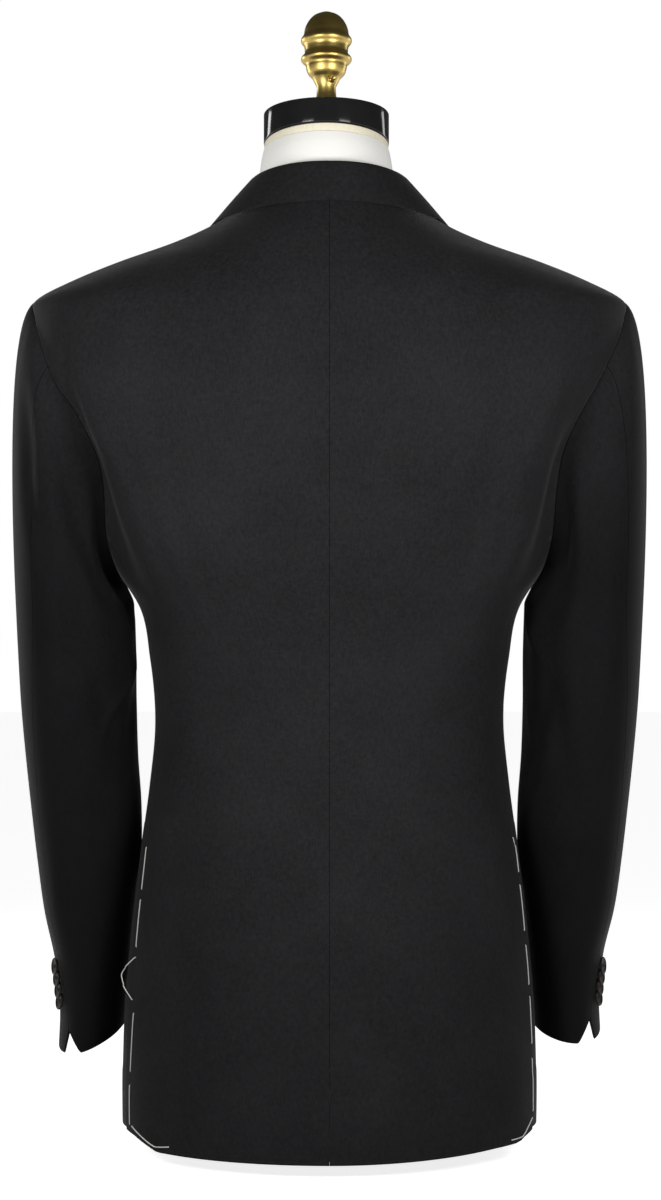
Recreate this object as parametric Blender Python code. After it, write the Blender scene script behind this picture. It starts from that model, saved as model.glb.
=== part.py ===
"""A single-breasted blazer on a limbless dress form, in metres, +Z up, standing on the form's foot.

The wearer would face -Y, with the left side at +X. The jacket is cut as a tailor cuts it: two backs
with a centre seam and side vents, two side bodies, two fronts with notch lapels, a folded collar
and two-piece sleeves with four buttons at each cuff. Every cloth piece is a thin wall, offset from
one shared body surface, so that neighbouring pieces meet along the same seam line.
"""

import math

import bmesh
import bpy
import numpy as np

# ---------------------------------------------------------------- driving sizes, in metres
WALL = 0.0020  # cloth with its interlining
SEAM_GAP = 0.0003  # left between two pieces where a seam joins them
LAY_GAP = 0.0007  # left between a piece and the panel that it lies on
LAP_GAP = 0.0012  # left between the two fronts where one laps over the other

HEM_BACK = 0.010  # height of the hem at centre back
HEM_SIDE = 0.021  # and at the side vents
# By side, wearer's left (1) and right (-1): how far the back's hem rises before it meets the vent's
# corner, and the width of that turned-up corner.
HEM_BOW = {1: 0.0000, -1: 0.0055}
HEM_FRONT = 0.012
VENT_TOP = 0.250
VENT_SEAM_FOOT = 0.270  # below this height the back's edge steps out over the side body
VENT_LAP = 0.008  # the back's edge lies this far over the side body
VENT_CORNER = {1: 0.021, -1: 0.008}

NECK_BACK = 0.7520  # height of the collar seam at centre back
NECK_POINT = 0.7440  # where the collar seam crosses the shoulder
SHOULDER_POINT = 0.6750
UNDERARM = 0.4550
BACK_SCOOP = math.radians(26.0)  # how far the armhole cuts into the back, as an angle round the body
FRONT_SCOOP = math.radians(34.0)

FRONT_LAP = 0.018  # the fronts pass the centre line by this much
BUTTON_TOP = 0.362
BUTTON_LOW = 0.258
BREAK_HEIGHT = 0.380  # where the lapel starts to roll
QUARTER_START = 0.235  # the front edge curves away below this height
QUARTER_SWEEP = 0.078
HEM_CORNER = (0.045, 0.016)  # width and rise of the front hem's rounded corner

BACK_SEAM_FOOT = math.radians(69.0)  # where the side body's two seams reach the hem, round the body
FRONT_SEAM_FOOT = math.radians(109.0)
BACK_NECK_SHARE = 0.36  # of each panel's top, the neck seam takes this much
FRONT_NECK_SHARE = 0.30

GORGE_ROLL = np.array([0.0580, 0.7000])  # x and z where the collar seam meets the roll line
NOTCH = np.array([0.0990, 0.6740])  # inner corner of the notch
LAPEL_TIP = np.array([0.1340, 0.6520])
LAPEL_FOOT = (0.006, 0.003)  # its outer edge starts this far in and above the break
LAPEL_BELLY = 0.010  # how far the lapel's outer edge bows out
LAPEL_BLOOM = 0.003  # and how far its foot stands off the front
RIGHT_LAPEL_START = 0.21  # share of the right lapel's edge that stays hidden by the left front

BODY_JUNCTION = 135.0  # degrees round the armhole where the side-back seam meets it
SLEEVE_COLUMNS = 24
HIND_COLUMN = 4  # sleeve columns, counted round the armhole from the shoulder point
FORE_COLUMN = 16


def table(names, *rows):
    """A table with named columns, read by smooth curves along its first column."""
    return dict(zip(names.split(), np.array(rows, float).T))


# The jacket's outer face, one row for each height: its widest half width, where that lies, how far
# it reaches to the back and the front, and how much squarer than an ellipse each half is.
BODY = table(
    "height half_width side_y back_y front_y back_square front_square",
    (0.000, 0.1650, 0.000, 0.1330, -0.1160, 0.00, 0.06),
    (0.060, 0.1655, 0.000, 0.1320, -0.1170, 0.00, 0.06),
    (0.120, 0.1630, 0.000, 0.1285, -0.1180, 0.00, 0.06),
    (0.180, 0.1575, -0.001, 0.1220, -0.1180, 0.02, 0.06),
    (0.240, 0.1505, -0.002, 0.1130, -0.1165, 0.04, 0.06),
    (0.290, 0.1438, -0.003, 0.1040, -0.1150, 0.06, 0.07),
    (0.340, 0.1395, -0.004, 0.0985, -0.1150, 0.08, 0.08),
    (0.390, 0.1436, -0.004, 0.0995, -0.1190, 0.10, 0.09),
    (0.433, 0.1527, -0.004, 0.1040, -0.1230, 0.12, 0.10),
    (0.460, 0.1700, -0.003, 0.1080, -0.1250, 0.13, 0.11),
    (0.490, 0.1870, -0.002, 0.1130, -0.1260, 0.14, 0.12),
    (0.520, 0.1990, -0.001, 0.1165, -0.1255, 0.14, 0.12),
    (0.550, 0.2085, 0.000, 0.1185, -0.1235, 0.14, 0.12),
    (0.580, 0.2200, 0.000, 0.1190, -0.1190, 0.13, 0.11),
    (0.610, 0.2320, 0.001, 0.1180, -0.1120, 0.12, 0.10),
    (0.640, 0.2375, 0.002, 0.1145, -0.1010, 0.10, 0.08),
    (0.660, 0.2380, 0.003, 0.1110, -0.0910, 0.08, 0.06),
    (0.675, 0.2345, 0.003, 0.1070, -0.0810, 0.06, 0.05),
    (0.690, 0.2065, 0.004, 0.1010, -0.0715, 0.04, 0.04),
    (0.705, 0.1700, 0.004, 0.0935, -0.0630, 0.02, 0.03),
    (0.720, 0.1270, 0.005, 0.0860, -0.0560, 0.00, 0.02),
    (0.735, 0.0935, 0.005, 0.0790, -0.0510, 0.00, 0.02),
    (0.750, 0.0725, 0.006, 0.0725, -0.0480, 0.00, 0.02),
    (0.762, 0.0655, 0.006, 0.0680, -0.0470, 0.00, 0.02),
)

# The largest drape folds of the body. side is 1 for the wearer's left and -1 for the right; the
# angles go round from centre back at the fold's two ends; lift is outward, or inward below zero.
BODY_FOLDS = table(
    "side top_angle low_angle top low spread lift",
    (1, 48, 52, 0.665, 0.390, 7, 0.0032),
    (1, 57, 70, 0.650, 0.425, 7, -0.0055),
    (-1, 45, 50, 0.665, 0.370, 8, 0.0034),
    (-1, 54, 66, 0.650, 0.425, 8, -0.0060),
    (1, 26, 36, 0.330, 0.010, 10, 0.0016),
    (-1, 30, 22, 0.300, 0.010, 11, 0.0014),
    (1, 136, 142, 0.640, 0.400, 8, 0.0024),
    (-1, 136, 142, 0.640, 0.400, 8, 0.0024),
)

# The sleeve below the underarm, one row for each height of its centre line.
SLEEVE = table(
    "height centre_x centre_y half_width half_depth tilt_y tilt_x hind fore",
    (0.088, 0.1925, -0.0540, 0.0285, 0.0590, 0.18, 0.25, 60, 238),
    (0.113, 0.1910, -0.0500, 0.0287, 0.0592, 0.18, 0.21, 51, 238),
    (0.153, 0.1912, -0.0415, 0.0314, 0.0598, 0.17, 0.14, 44, 238),
    (0.193, 0.1937, -0.0330, 0.0372, 0.0606, 0.15, 0.08, 42, 237),
    (0.233, 0.1940, -0.0245, 0.0419, 0.0620, 0.11, 0.03, 41, 236),
    (0.273, 0.1958, -0.0165, 0.0441, 0.0640, 0.06, 0.00, 40, 236),
    (0.313, 0.1988, -0.0100, 0.0447, 0.0660, 0.02, 0.00, 43, 235),
    (0.353, 0.2009, -0.0065, 0.0458, 0.0685, 0.00, 0.00, 46, 235),
    (0.393, 0.2021, -0.0060, 0.0469, 0.0700, 0.00, 0.00, 50, 235),
    (0.433, 0.2038, -0.0075, 0.0473, 0.0710, 0.00, 0.00, 54, 235),
)
SLEEVE_TOP = 0.433
CUFF = 0.088
CUFF_NICK = 0.019  # height of the open corner at the foot of the cuff's vent
CUFF_NICK_ANGLE = math.radians(17.0)
# Each cuff hangs in its own way: its added tilt outward and its rise, fading out above the wrist.
CUFF_HANG = {1: (0.13, 0.0000), -1: (-0.14, 0.0055)}
CUFF_HANG_TOP = 0.233

# Soft creases of the sleeves. angle goes round from the outer side by way of the back; slant is how
# many degrees the crease turns for each metre that it falls.
SLEEVE_FOLDS = table(
    "side angle height length spread slant lift",
    (1, 150, 0.400, 0.120, 16, -260, 0.0036),
    (1, 118, 0.360, 0.110, 13, -300, -0.0030),
    (1, 140, 0.300, 0.110, 14, 280, 0.0030),
    (1, 95, 0.460, 0.190, 12, 60, -0.0028),
    (-1, 146, 0.410, 0.110, 15, 270, 0.0034),
    (-1, 120, 0.350, 0.120, 13, 300, -0.0030),
    (-1, 138, 0.290, 0.110, 14, -250, 0.0028),
    (-1, 95, 0.470, 0.190, 12, 50, -0.0030),
)

# The collar from centre back (station 0) over the shoulder (3) to the gorge (5): how far the fold
# rises above the seam and leans out, and where the fall's outer edge lies on the body.
COLLAR = table(
    "station rise lean edge_angle edge_height",
    (0.0, 0.0242, 0.0075, 0, 0.7460),
    (1.0, 0.0250, 0.0080, 33, 0.7430),
    (2.0, 0.0265, 0.0088, 63, 0.7375),
    (3.0, 0.0275, 0.0092, 90, 0.7365),
    (4.0, 0.0225, 0.0080, 119, 0.7230),
    (5.0, 0.0040, 0.0017, 141, 0.7030),
)
FOLD_RADIUS = 0.0016
FALL_BOW = 0.0012  # the fall rounds out by this much between its fold and its edge
FALL_KINK = 0.6  # share of the fall's width that lies inside the notch, at the gorge

CUFF_BUTTONS = 4
CUFF_BUTTON_PITCH = 0.0088
CUFF_BUTTON_RADIUS = 0.0070
CUFF_BUTTON_LOWEST = {1: 0.1290, -1: 0.1225}  # by side
CUFF_BUTTON_TURN = 7.5  # degrees from the cuff's vent, round towards the front
BUTTON_OVERLAP_GAP = 0.0003  # left between a cuff button and the one that it overlaps
FRONT_BUTTON_RADIUS = 0.0100
BUTTON_THICKNESS = 0.0020
BUTTON_SHANK = 0.0004  # a button's thread holds it this far off the cloth

FLAP_ANGLES = np.radians((98.0, 160.0))  # round the body, from the side body on to the front
FLAP_TOP = 0.262
FLAP_DROP = 0.004  # its rear end sits this much lower
FLAP_CORNER_DEPTH = 0.016  # depth where the lower corners' rounding starts
FLAP_DEPTH = 0.052

WELT_X = (0.108, 0.178)
WELT_LOW = (0.548, 0.559)  # height of its lower edge at each end
WELT_DEPTH = 0.024

# ---------------------------------------------------------------- curves and surfaces


def at(rows, name, place):
    """The named column at a place along the table's first column, on a smooth curve."""
    stations = rows[next(iter(rows))]
    values = rows[name]
    slopes = np.gradient(values, stations)
    place = np.clip(place, stations[0], stations[-1])
    i = np.clip(np.searchsorted(stations, place) - 1, 0, len(stations) - 2)
    span = stations[i + 1] - stations[i]
    t = (place - stations[i]) / span
    start = values[i] * (1 + 2 * t) * (1 - t) ** 2 + slopes[i] * span * t * (1 - t) ** 2
    end = values[i + 1] * t * t * (3 - 2 * t) - slopes[i + 1] * span * t * t * (1 - t)
    return start + end


def ease(t):
    """0 to 1, level at both ends."""
    t = np.clip(t, 0.0, 1.0)
    return t * t * (3 - 2 * t)


def unit(vectors):
    return vectors / np.linalg.norm(vectors, axis=-1, keepdims=True)


def plain_body(angle, height):
    """The body's outer face without its folds. angle is 0 at centre back and pi at centre front."""
    s, c = np.sin(angle), np.cos(angle)
    back = c >= 0
    side_y = at(BODY, "side_y", height)
    reach = np.where(back, at(BODY, "back_y", height) - side_y, side_y - at(BODY, "front_y", height))
    square = np.where(back, at(BODY, "back_square", height), at(BODY, "front_square", height))
    x = at(BODY, "half_width", height) * s * (1 + square * c * c)
    y = side_y + reach * c * (1 + square * s * s)
    return np.stack([x, y, height + 0 * x], -1)


def fold_lift(angle, height, side):
    lift = 0.0 * angle
    for i in np.flatnonzero(BODY_FOLDS["side"] == side):
        row = {name: column[i] for name, column in BODY_FOLDS.items()}
        along = np.clip((height - row["low"]) / (row["top"] - row["low"]), 0, 1)
        centre = np.radians(row["low_angle"] + (row["top_angle"] - row["low_angle"]) * along)
        across = (angle - centre) / math.radians(row["spread"])
        lift = lift + row["lift"] * np.sin(np.pi * along) ** 2 * np.exp(-across * across)
    return lift


def normals_of(surface, angle, height):
    """Outward normals of surface(angle, height), by small steps."""
    d_angle, d_height = 0.004, 0.0008
    round_it = surface(angle + d_angle, height) - surface(angle - d_angle, height)
    up_it = surface(angle, height + d_height) - surface(angle, height - d_height)
    return -unit(np.cross(round_it, up_it))


def body(angle, height, side):
    """The body's outer face with its folds, for the half at +X. side only picks the folds."""
    normal = normals_of(plain_body, angle, height)
    return plain_body(angle, height) + normal * fold_lift(angle, height, side)[..., None]


def body_normal(angle, height, side):
    return normals_of(lambda a, h: body(a, h, side), angle, height)


def angle_at(x, height, front):
    """The angle whose point on the body has this x: on the back, or on the front."""
    square = at(BODY, "front_square" if front else "back_square", height)
    share = x / at(BODY, "half_width", height)
    s = np.clip(share, -1, 1)
    for _ in range(12):
        s = np.clip(share / (1 + square * (1 - s * s)), -1, 1)
    return np.pi - np.arcsin(s) if front else np.arcsin(s)


def armhole(degrees):
    """Angle and height of the armhole seam: 0 at the shoulder point, 90 at the back, 180 below."""
    turn = np.radians(degrees)
    scoop = np.where(np.sin(turn) > 0, BACK_SCOOP, FRONT_SCOOP)
    middle, half = (SHOULDER_POINT + UNDERARM) / 2, (SHOULDER_POINT - UNDERARM) / 2
    return np.pi / 2 - scoop * np.sin(turn), middle + half * np.cos(turn)


JUNCTION = float(armhole(BODY_JUNCTION)[1])
SEAM_ROWS = np.array([HEM_SIDE, 0.060, 0.110, 0.160, 0.210, 0.238, VENT_TOP, VENT_SEAM_FOOT,
                      0.310, 0.350, 0.390, 0.430, 0.461, JUNCTION])  # fmt: skip
BACK_TURNS = np.arange(BODY_JUNCTION - 15, -1, -15.0)
FRONT_TURNS = 360 - BACK_TURNS


def seam_angle(height, front):
    """The side-back seam, or the seam between side body and front, as an angle round the body."""
    rise = (height - HEM_SIDE) / (JUNCTION - HEM_SIDE)
    end = armhole(360 - BODY_JUNCTION if front else BODY_JUNCTION)[0]
    start = FRONT_SEAM_FOOT if front else BACK_SEAM_FOOT
    return start + (end - start) * rise


def coons(bottom, top, left, right, u, v):
    """A net of points between four border lines: bottom and top at the u's, left and right at the v's."""
    u, v = u[None, :, None], v[:, None, None]
    ruled = (1 - v) * bottom[None] + v * top[None] + (1 - u) * left[:, None] + u * right[:, None]
    corners = (1 - u) * (1 - v) * bottom[0] + u * (1 - v) * bottom[-1]
    return ruled - corners - (1 - u) * v * top[0] - u * v * top[-1]


def line(start, end, count):
    return np.linspace(start, end, count + 1)


# ---------------------------------------------------------------- making the pieces

CLOTH = ("worsted", (0.022, 0.022, 0.024), 0.85, 0.0)
HORN = ("horn", (0.012, 0.011, 0.011), 0.35, 0.0)
JERSEY = ("jersey", (0.80, 0.79, 0.76), 0.90, 0.0)
CREAM = ("cream_tape", (0.78, 0.70, 0.55), 0.85, 0.0)
LACQUER = ("black_lacquer", (0.010, 0.010, 0.010), 0.10, 0.0)
BRASS = ("brass", (0.62, 0.44, 0.16), 0.30, 1.0)


def material(look):
    name, colour, roughness, metallic = look
    made = bpy.data.materials.get(name)
    if made is None:
        made = bpy.data.materials.new(name)
        made.use_nodes = True
        shader = made.node_tree.nodes["Principled BSDF"]
        shader.inputs["Base Color"].default_value = (*colour, 1.0)
        shader.inputs["Roughness"].default_value = roughness
        shader.inputs["Metallic"].default_value = metallic
    return made


def piece(name, points, faces, look, smooth_below=40.0):
    """One closed body from points and faces, shaded smooth where it is rounded."""
    mesh = bpy.data.meshes.new(name)
    mesh.from_pydata([tuple(p) for p in points], [], faces)
    net = bmesh.new()
    net.from_mesh(mesh)
    bmesh.ops.recalc_face_normals(net, faces=net.faces)
    # Both walls of a seam are cut along the same, shorter, diagonals.
    quads = [face for face in net.faces if len(face.verts) == 4]
    bmesh.ops.triangulate(net, faces=quads, quad_method="SHORT_EDGE")
    net.to_mesh(mesh)
    net.free()
    mesh.shade_smooth()
    mesh.set_sharp_from_angle(angle=math.radians(smooth_below))
    mesh.materials.append(material(look))
    made = bpy.data.objects.new(name, mesh)
    bpy.context.scene.collection.objects.link(made)
    return made


def sheet(name, outer, inner, side, look=CLOTH):
    """A wall between two nets of points with the same rows and columns, closed round its edge."""
    rows, columns = outer.shape[:2]
    points = np.concatenate([outer.reshape(-1, 3), inner.reshape(-1, 3)]) * (side, 1, 1)
    back = rows * columns
    faces = []
    for r in range(rows - 1):
        for c in range(columns - 1):
            a, b = r * columns + c, r * columns + c + 1
            quad = (a, b, b + columns, a + columns)
            faces += [quad, tuple(back + i for i in reversed(quad))]
    rim = [c for c in range(columns)]
    rim += [r * columns + columns - 1 for r in range(1, rows)]
    rim += [(rows - 1) * columns + c for c in range(columns - 2, -1, -1)]
    rim += [r * columns for r in range(rows - 2, 0, -1)]
    for a, b in zip(rim, rim[1:] + rim[:1]):
        faces.append((a, b, back + b, back + a))
    return piece(name, points, faces, look)


def net_normals(points):
    """Normals of a net of points, by its own differences."""
    along = np.gradient(points, axis=0)
    across = np.gradient(points, axis=1)
    return unit(np.cross(across, along))


def trim_edges(points, normals, gap):
    """Draws each border of a net inwards, within its own surface."""
    moved = points.copy()
    borders = (
        ((0, slice(None)), (1, slice(None))),
        ((-1, slice(None)), (-2, slice(None))),
        ((slice(None), 0), (slice(None), 1)),
        ((slice(None), -1), (slice(None), -2)),
    )
    for border, inside in borders:
        along = np.gradient(points[border], axis=0)
        inward = unit(np.cross(normals[border], along))
        wrong = np.sum(inward * (points[inside] - points[border]), axis=-1) < 0
        inward[wrong] *= -1
        moved[border] += inward * gap
    return moved


# ---------------------------------------------------------------- the sleeve's outer face


def sleeve_ring(turn, height, side):
    """The sleeve below the underarm. turn is 0 at its outer side and pi/2 at its back."""
    s, c = np.sin(turn), np.cos(turn)
    lift = 0.0 * turn
    for i in np.flatnonzero(SLEEVE_FOLDS["side"] == side):
        row = {name: column[i] for name, column in SLEEVE_FOLDS.items()}
        away = height - row["height"]
        centre = np.radians(row["angle"] + row["slant"] * away)
        across = (turn - centre) / math.radians(row["spread"])
        fade = np.exp(-((2 * away / row["length"]) ** 2))
        lift = lift + row["lift"] * fade * np.exp(-across * across)
    dx = (at(SLEEVE, "half_width", height) + lift) * c * (1 + 0.04 * s * s)
    dy = (at(SLEEVE, "half_depth", height) + lift) * s * (1 + 0.04 * c * c)
    lean, rise = CUFF_HANG[side]
    hang = ease((CUFF_HANG_TOP - height) / (CUFF_HANG_TOP - CUFF))
    dz = rise * hang - at(SLEEVE, "tilt_y", height) * dy - (at(SLEEVE, "tilt_x", height) + lean * hang) * dx
    x = at(SLEEVE, "centre_x", height) + dx
    return np.stack([x, at(SLEEVE, "centre_y", height) + dy, height + dz], -1)


def sleeve_turns(height):
    """The turn of each of the sleeve's columns, whose two seams shift a little on the way down."""
    hind, fore = at(SLEEVE, "hind", height), at(SLEEVE, "fore", height)
    columns = np.arange(HIND_COLUMN, HIND_COLUMN + SLEEVE_COLUMNS + 1)
    under = hind + (fore - hind) * (columns - HIND_COLUMN) / (FORE_COLUMN - HIND_COLUMN)
    upper_count = HIND_COLUMN + SLEEVE_COLUMNS - FORE_COLUMN
    upper = fore + (hind + 360 - fore) * (columns - FORE_COLUMN) / upper_count
    return np.radians(np.where(columns <= FORE_COLUMN, under, upper))


# The sleeve leaves the armhole, and comes to its tube, at lengths that vary round the armhole:
# each is level + once * cos(turn) + twice * cos(2 * turn).
CAP_LEAVE_OUT = (0.0375, 0.0280, -0.0075)
CAP_LEAVE_UP = (-0.0425, -0.0050, 0.0175)
CAP_LEAVE_BACK = 0.012  # times sin(turn)
CAP_ARRIVE = (0.150, 0.130, 0.0)
CAP_STEPS = np.array([0.0, 0.05, 0.13, 0.25, 0.42, 0.62, 0.82, 1.0])
SLEEVE_HEIGHTS = np.array([0.393, 0.353, 0.313, 0.273, 0.233, 0.193, 0.153, CUFF + CUFF_NICK + 0.012,
                           CUFF + CUFF_NICK, CUFF])  # fmt: skip


def waves(turn, amounts):
    level, once, twice = amounts
    return level + once * np.cos(turn) + twice * np.cos(2 * turn)


def sleeve_net(side):
    """The sleeve's outer face, from the armhole down, as rows of points round it."""
    turns_down = 360.0 / SLEEVE_COLUMNS * np.arange(HIND_COLUMN, HIND_COLUMN + SLEEVE_COLUMNS + 1)
    hole = body(*armhole(turns_down % 360), side)
    ring = sleeve_ring(sleeve_turns(SLEEVE_TOP), SLEEVE_TOP + 0 * turns_down, side)
    turn = np.radians(turns_down)
    leave_back = CAP_LEAVE_BACK * np.sin(turn)
    leave = np.stack([waves(turn, CAP_LEAVE_OUT), leave_back, waves(turn, CAP_LEAVE_UP)], -1)
    below = sleeve_ring(sleeve_turns(SLEEVE_TOP), SLEEVE_TOP - 0.01 + 0 * turns_down, side)
    arrive = unit(below - ring) * waves(turn, CAP_ARRIVE)[:, None]
    rows = []
    for t in CAP_STEPS:
        start = hole * (1 + 2 * t) * (1 - t) ** 2 + leave * t * (1 - t) ** 2
        rows.append(start + ring * t * t * (3 - 2 * t) - arrive * t * t * (1 - t))
    for height in SLEEVE_HEIGHTS:
        rows.append(sleeve_ring(sleeve_turns(height), height + 0 * turns_down, side))
    return np.array(rows)


def sleeve_normals(net):
    """Normals of the closed sleeve, the same at both sides of its hind seam."""
    around = np.concatenate([net[:, -2:-1], net, net[:, 1:2]], axis=1)
    across = (around[:, 2:] - around[:, :-2]) / 2
    along = np.gradient(net, axis=0)
    return unit(np.cross(along, across))


def armhole_mitre(side):
    """The wall's direction all round the armhole, shared by the body and the sleeve."""
    turns = 360.0 / SLEEVE_COLUMNS * np.arange(HIND_COLUMN, HIND_COLUMN + SLEEVE_COLUMNS + 1)
    of_sleeve = sleeve_normals(sleeve_net(side))[0]
    shared = unit(body_normal(*armhole(turns % 360), side) + of_sleeve)
    return {int(round(t)) % 360: n for t, n in zip(turns, shared)}


# ---------------------------------------------------------------- backs, side bodies and fronts

NECK_COLUMNS = 5
SHOULDER_COLUMNS = 6
GORGE_COLUMNS = 4
TIP_COLUMNS = 3
GORGE_CLEAR = 0.0018  # the folded end of the collar stays this far from the lapel's roll


def shoulder_seam(share):
    """x and z along the ridge of the body, from the neck point (share 0) to the shoulder point (1)."""
    heights = line(NECK_POINT, SHOULDER_POINT, 200)
    widths = at(BODY, "half_width", heights)
    x = widths[0] + (widths[-1] - widths[0]) * share
    return np.stack([x, np.interp(x, widths, heights)], -1)


def top_line(neck, neck_share, u):
    """The panel's top border at each u: the neck seam's line, then the shoulder seam."""
    seam = shoulder_seam(np.clip((u - neck_share) / (1 - neck_share), 0, 1))
    at_neck = line(0, neck_share, len(neck) - 1)
    along_neck = np.stack([np.interp(u, at_neck, neck[:, 0]), np.interp(u, at_neck, neck[:, 1])], -1)
    return np.where((u < neck_share)[:, None], along_neck, seam)


def column_places(neck_share):
    neck = line(0, neck_share, NECK_COLUMNS)
    return np.concatenate([neck, line(neck_share, 1, SHOULDER_COLUMNS)[1:]])


def outer_border(front):
    """x and z up the panel's outer edge: its side seam, then its half of the armhole."""
    angles = seam_angle(SEAM_ROWS, front)
    heights = SEAM_ROWS
    hole_angles, hole_heights = armhole(FRONT_TURNS if front else BACK_TURNS)
    angles = np.concatenate([angles, hole_angles])
    heights = np.concatenate([heights, hole_heights])
    return np.stack([plain_body(angles, heights)[:, 0], heights], -1)


def finish_panel(name, places, side, front, lifts=None):
    """A panel's wall from its x and z places on the body, mitred along its armhole."""
    angles = angle_at(places[..., 0], places[..., 1], front)
    heights = places[..., 1]
    angles[-1, NECK_COLUMNS:] = np.pi / 2
    if not front:
        lap = ease((VENT_TOP - heights[:, -1]) / (VENT_TOP - SEAM_ROWS[5]))
        angles[:, -1] += lap * VENT_LAP / at(BODY, "half_width", heights[:, -1])
    normals = body_normal(angles, heights, side)
    mitre = armhole_mitre(side)
    for row, turn in enumerate(FRONT_TURNS if front else BACK_TURNS, len(SEAM_ROWS)):
        normals[row, -1] = mitre[int(turn) % 360]
    normals[len(SEAM_ROWS) - 1, -1] = mitre[int(360 - BODY_JUNCTION if front else BODY_JUNCTION)]
    outer = body(angles, heights, side)
    if lifts is not None:
        outer = outer + normals * lifts[..., None]
    outer = trim_edges(outer, normals, SEAM_GAP / 2)
    return sheet(name, outer, outer - normals * WALL, side), outer, normals


def make_back(name, side):
    """Half of the back: centre seam, side vent below, armhole and shoulder above."""
    right = outer_border(front=False)
    v = (right[:, 1] - right[0, 1]) / (right[-1, 1] - right[0, 1])
    left = np.stack([0 * v, HEM_BACK + (NECK_BACK - HEM_BACK) * v], -1)
    # One more column beside the side seam takes the step over the vent.
    u = np.insert(column_places(BACK_NECK_SHARE), -1, 0.975)
    neck_angles = line(0, np.pi / 2, NECK_COLUMNS)
    neck_heights = NECK_BACK + (NECK_POINT - NECK_BACK) * np.sin(neck_angles) ** 2
    neck = np.stack([plain_body(neck_angles, neck_heights)[:, 0], neck_heights], -1)
    top = top_line(neck, BACK_NECK_SHARE, u)
    x = right[0, 0] * u
    corner = np.clip((x - right[0, 0]) / VENT_CORNER[side] + 1, 0, 1)
    bow = HEM_BOW[side] * (x / x[-1]) ** 2
    bottom = np.stack([x, HEM_BACK + bow + (HEM_SIDE - HEM_BOW[side] - HEM_BACK) * corner], -1)
    places = coons(bottom, top, left, right, u, v)
    lifts = np.zeros(places.shape[:2])
    step_down = ease((VENT_SEAM_FOOT - right[:, 1]) / (VENT_SEAM_FOOT - VENT_TOP))
    lifts[:, -2:] = (WALL + LAY_GAP) * step_down[:, None]
    lifts[:, -3] = 0.25 * lifts[:, -1]
    finish_panel(name, places, side, False, lifts)


def make_side_body(name, side):
    """The panel under the arm, between the side vent's seam and the front."""
    v = (SEAM_ROWS - SEAM_ROWS[0]) / (SEAM_ROWS[-1] - SEAM_ROWS[0])
    left = np.stack([seam_angle(SEAM_ROWS, False), SEAM_ROWS], -1)
    right = np.stack([seam_angle(SEAM_ROWS, True), SEAM_ROWS], -1)
    turns = np.arange(BODY_JUNCTION, 360 - BODY_JUNCTION + 1, 15.0)
    top = np.stack(armhole(turns), -1)
    u = line(0, 1, len(turns) - 1)
    bottom = left[0] + (right[0] - left[0]) * u[:, None]
    places = coons(bottom, top, left, right, u, v)
    normals = body_normal(places[..., 0], places[..., 1], side)
    mitre = armhole_mitre(side)
    normals[-1] = [mitre[int(t) % 360] for t in turns]
    outer = body(places[..., 0], places[..., 1], side)
    outer = trim_edges(outer, normals, SEAM_GAP / 2)
    sheet(name, outer, outer - normals * WALL, side)


def front_edge(height):
    """x of the front's edge: the quarter at the foot, the lapped edge, then the roll line."""
    low = np.clip((QUARTER_START - height) / (QUARTER_START - HEM_FRONT), 0, 1)
    straight = -FRONT_LAP + QUARTER_SWEEP * low**2.6
    rise = (height - BREAK_HEIGHT) / (GORGE_ROLL[1] - BREAK_HEIGHT)
    roll = -FRONT_LAP + (GORGE_ROLL[0] + FRONT_LAP) * rise
    return np.where(height < BREAK_HEIGHT, straight, roll)


LAP_REACH, LAP_FADE = 0.062, 0.040  # the lap's lift ends this far from the centre, over this width
LAP_TOP, LAP_TOP_FADE = 0.600, 0.120  # and it ends at these heights, over these lengths
LAP_FOOT, LAP_FOOT_FADE = 0.020, 0.100


def lap_lift(x, height, side):
    """The left front lies on the right one where they cross at the centre."""
    near = ease((LAP_REACH - np.abs(x)) / LAP_FADE)
    fade = ease((LAP_TOP - height) / LAP_TOP_FADE) * ease((height - LAP_FOOT) / LAP_FOOT_FADE)
    return side * (WALL + LAP_GAP) / 2 * near * fade


ROLL_SLOPE = (GORGE_ROLL[1] - BREAK_HEIGHT) / (GORGE_ROLL[0] + FRONT_LAP)
CROSSING = BREAK_HEIGHT + FRONT_LAP * ROLL_SLOPE  # where the two roll lines cross at the centre
HIDDEN_CLEAR = 0.016  # the right lapel starts this far above the crossing


def front_rows():
    """The outer border, its shares, and the heights of the front's rows along its inner edge."""
    right = outer_border(front=True)
    v = (right[:, 1] - right[0, 1]) / (right[-1, 1] - right[0, 1])
    foot = HEM_FRONT + HEM_CORNER[1]
    heights = foot + (GORGE_ROLL[1] - foot) * v
    for wanted in (BREAK_HEIGHT, CROSSING + HIDDEN_CLEAR):
        heights[np.argmin(np.abs(heights - wanted))] = wanted
    return right, v, heights


def make_front(name, side):
    """Half of the front, from its lapped edge and roll line to the side body, armhole and shoulder."""
    right, v, heights = front_rows()
    left = np.stack([front_edge(heights), heights], -1)
    u = column_places(FRONT_NECK_SHARE)
    neck = GORGE_ROLL + (shoulder_seam(0.0) - GORGE_ROLL) * line(0, 1, NECK_COLUMNS)[:, None]
    top = top_line(neck, FRONT_NECK_SHARE, u)
    x = left[0, 0] + (right[0, 0] - left[0, 0]) * u
    turn_up = np.clip((left[0, 0] + HEM_CORNER[0] - x) / HEM_CORNER[0], 0, 1) ** 2
    sag = HEM_FRONT + (HEM_SIDE - HEM_FRONT) * ease((u - 0.3) / 0.7)
    bottom = np.stack([x, sag + (left[0, 1] - HEM_FRONT) * turn_up], -1)
    places = coons(bottom, top, left, right, u, v)
    lifts = lap_lift(places[..., 0], places[..., 1], side)
    _, outer, normals = finish_panel(name, places, side, True, lifts)
    return outer, normals


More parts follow.
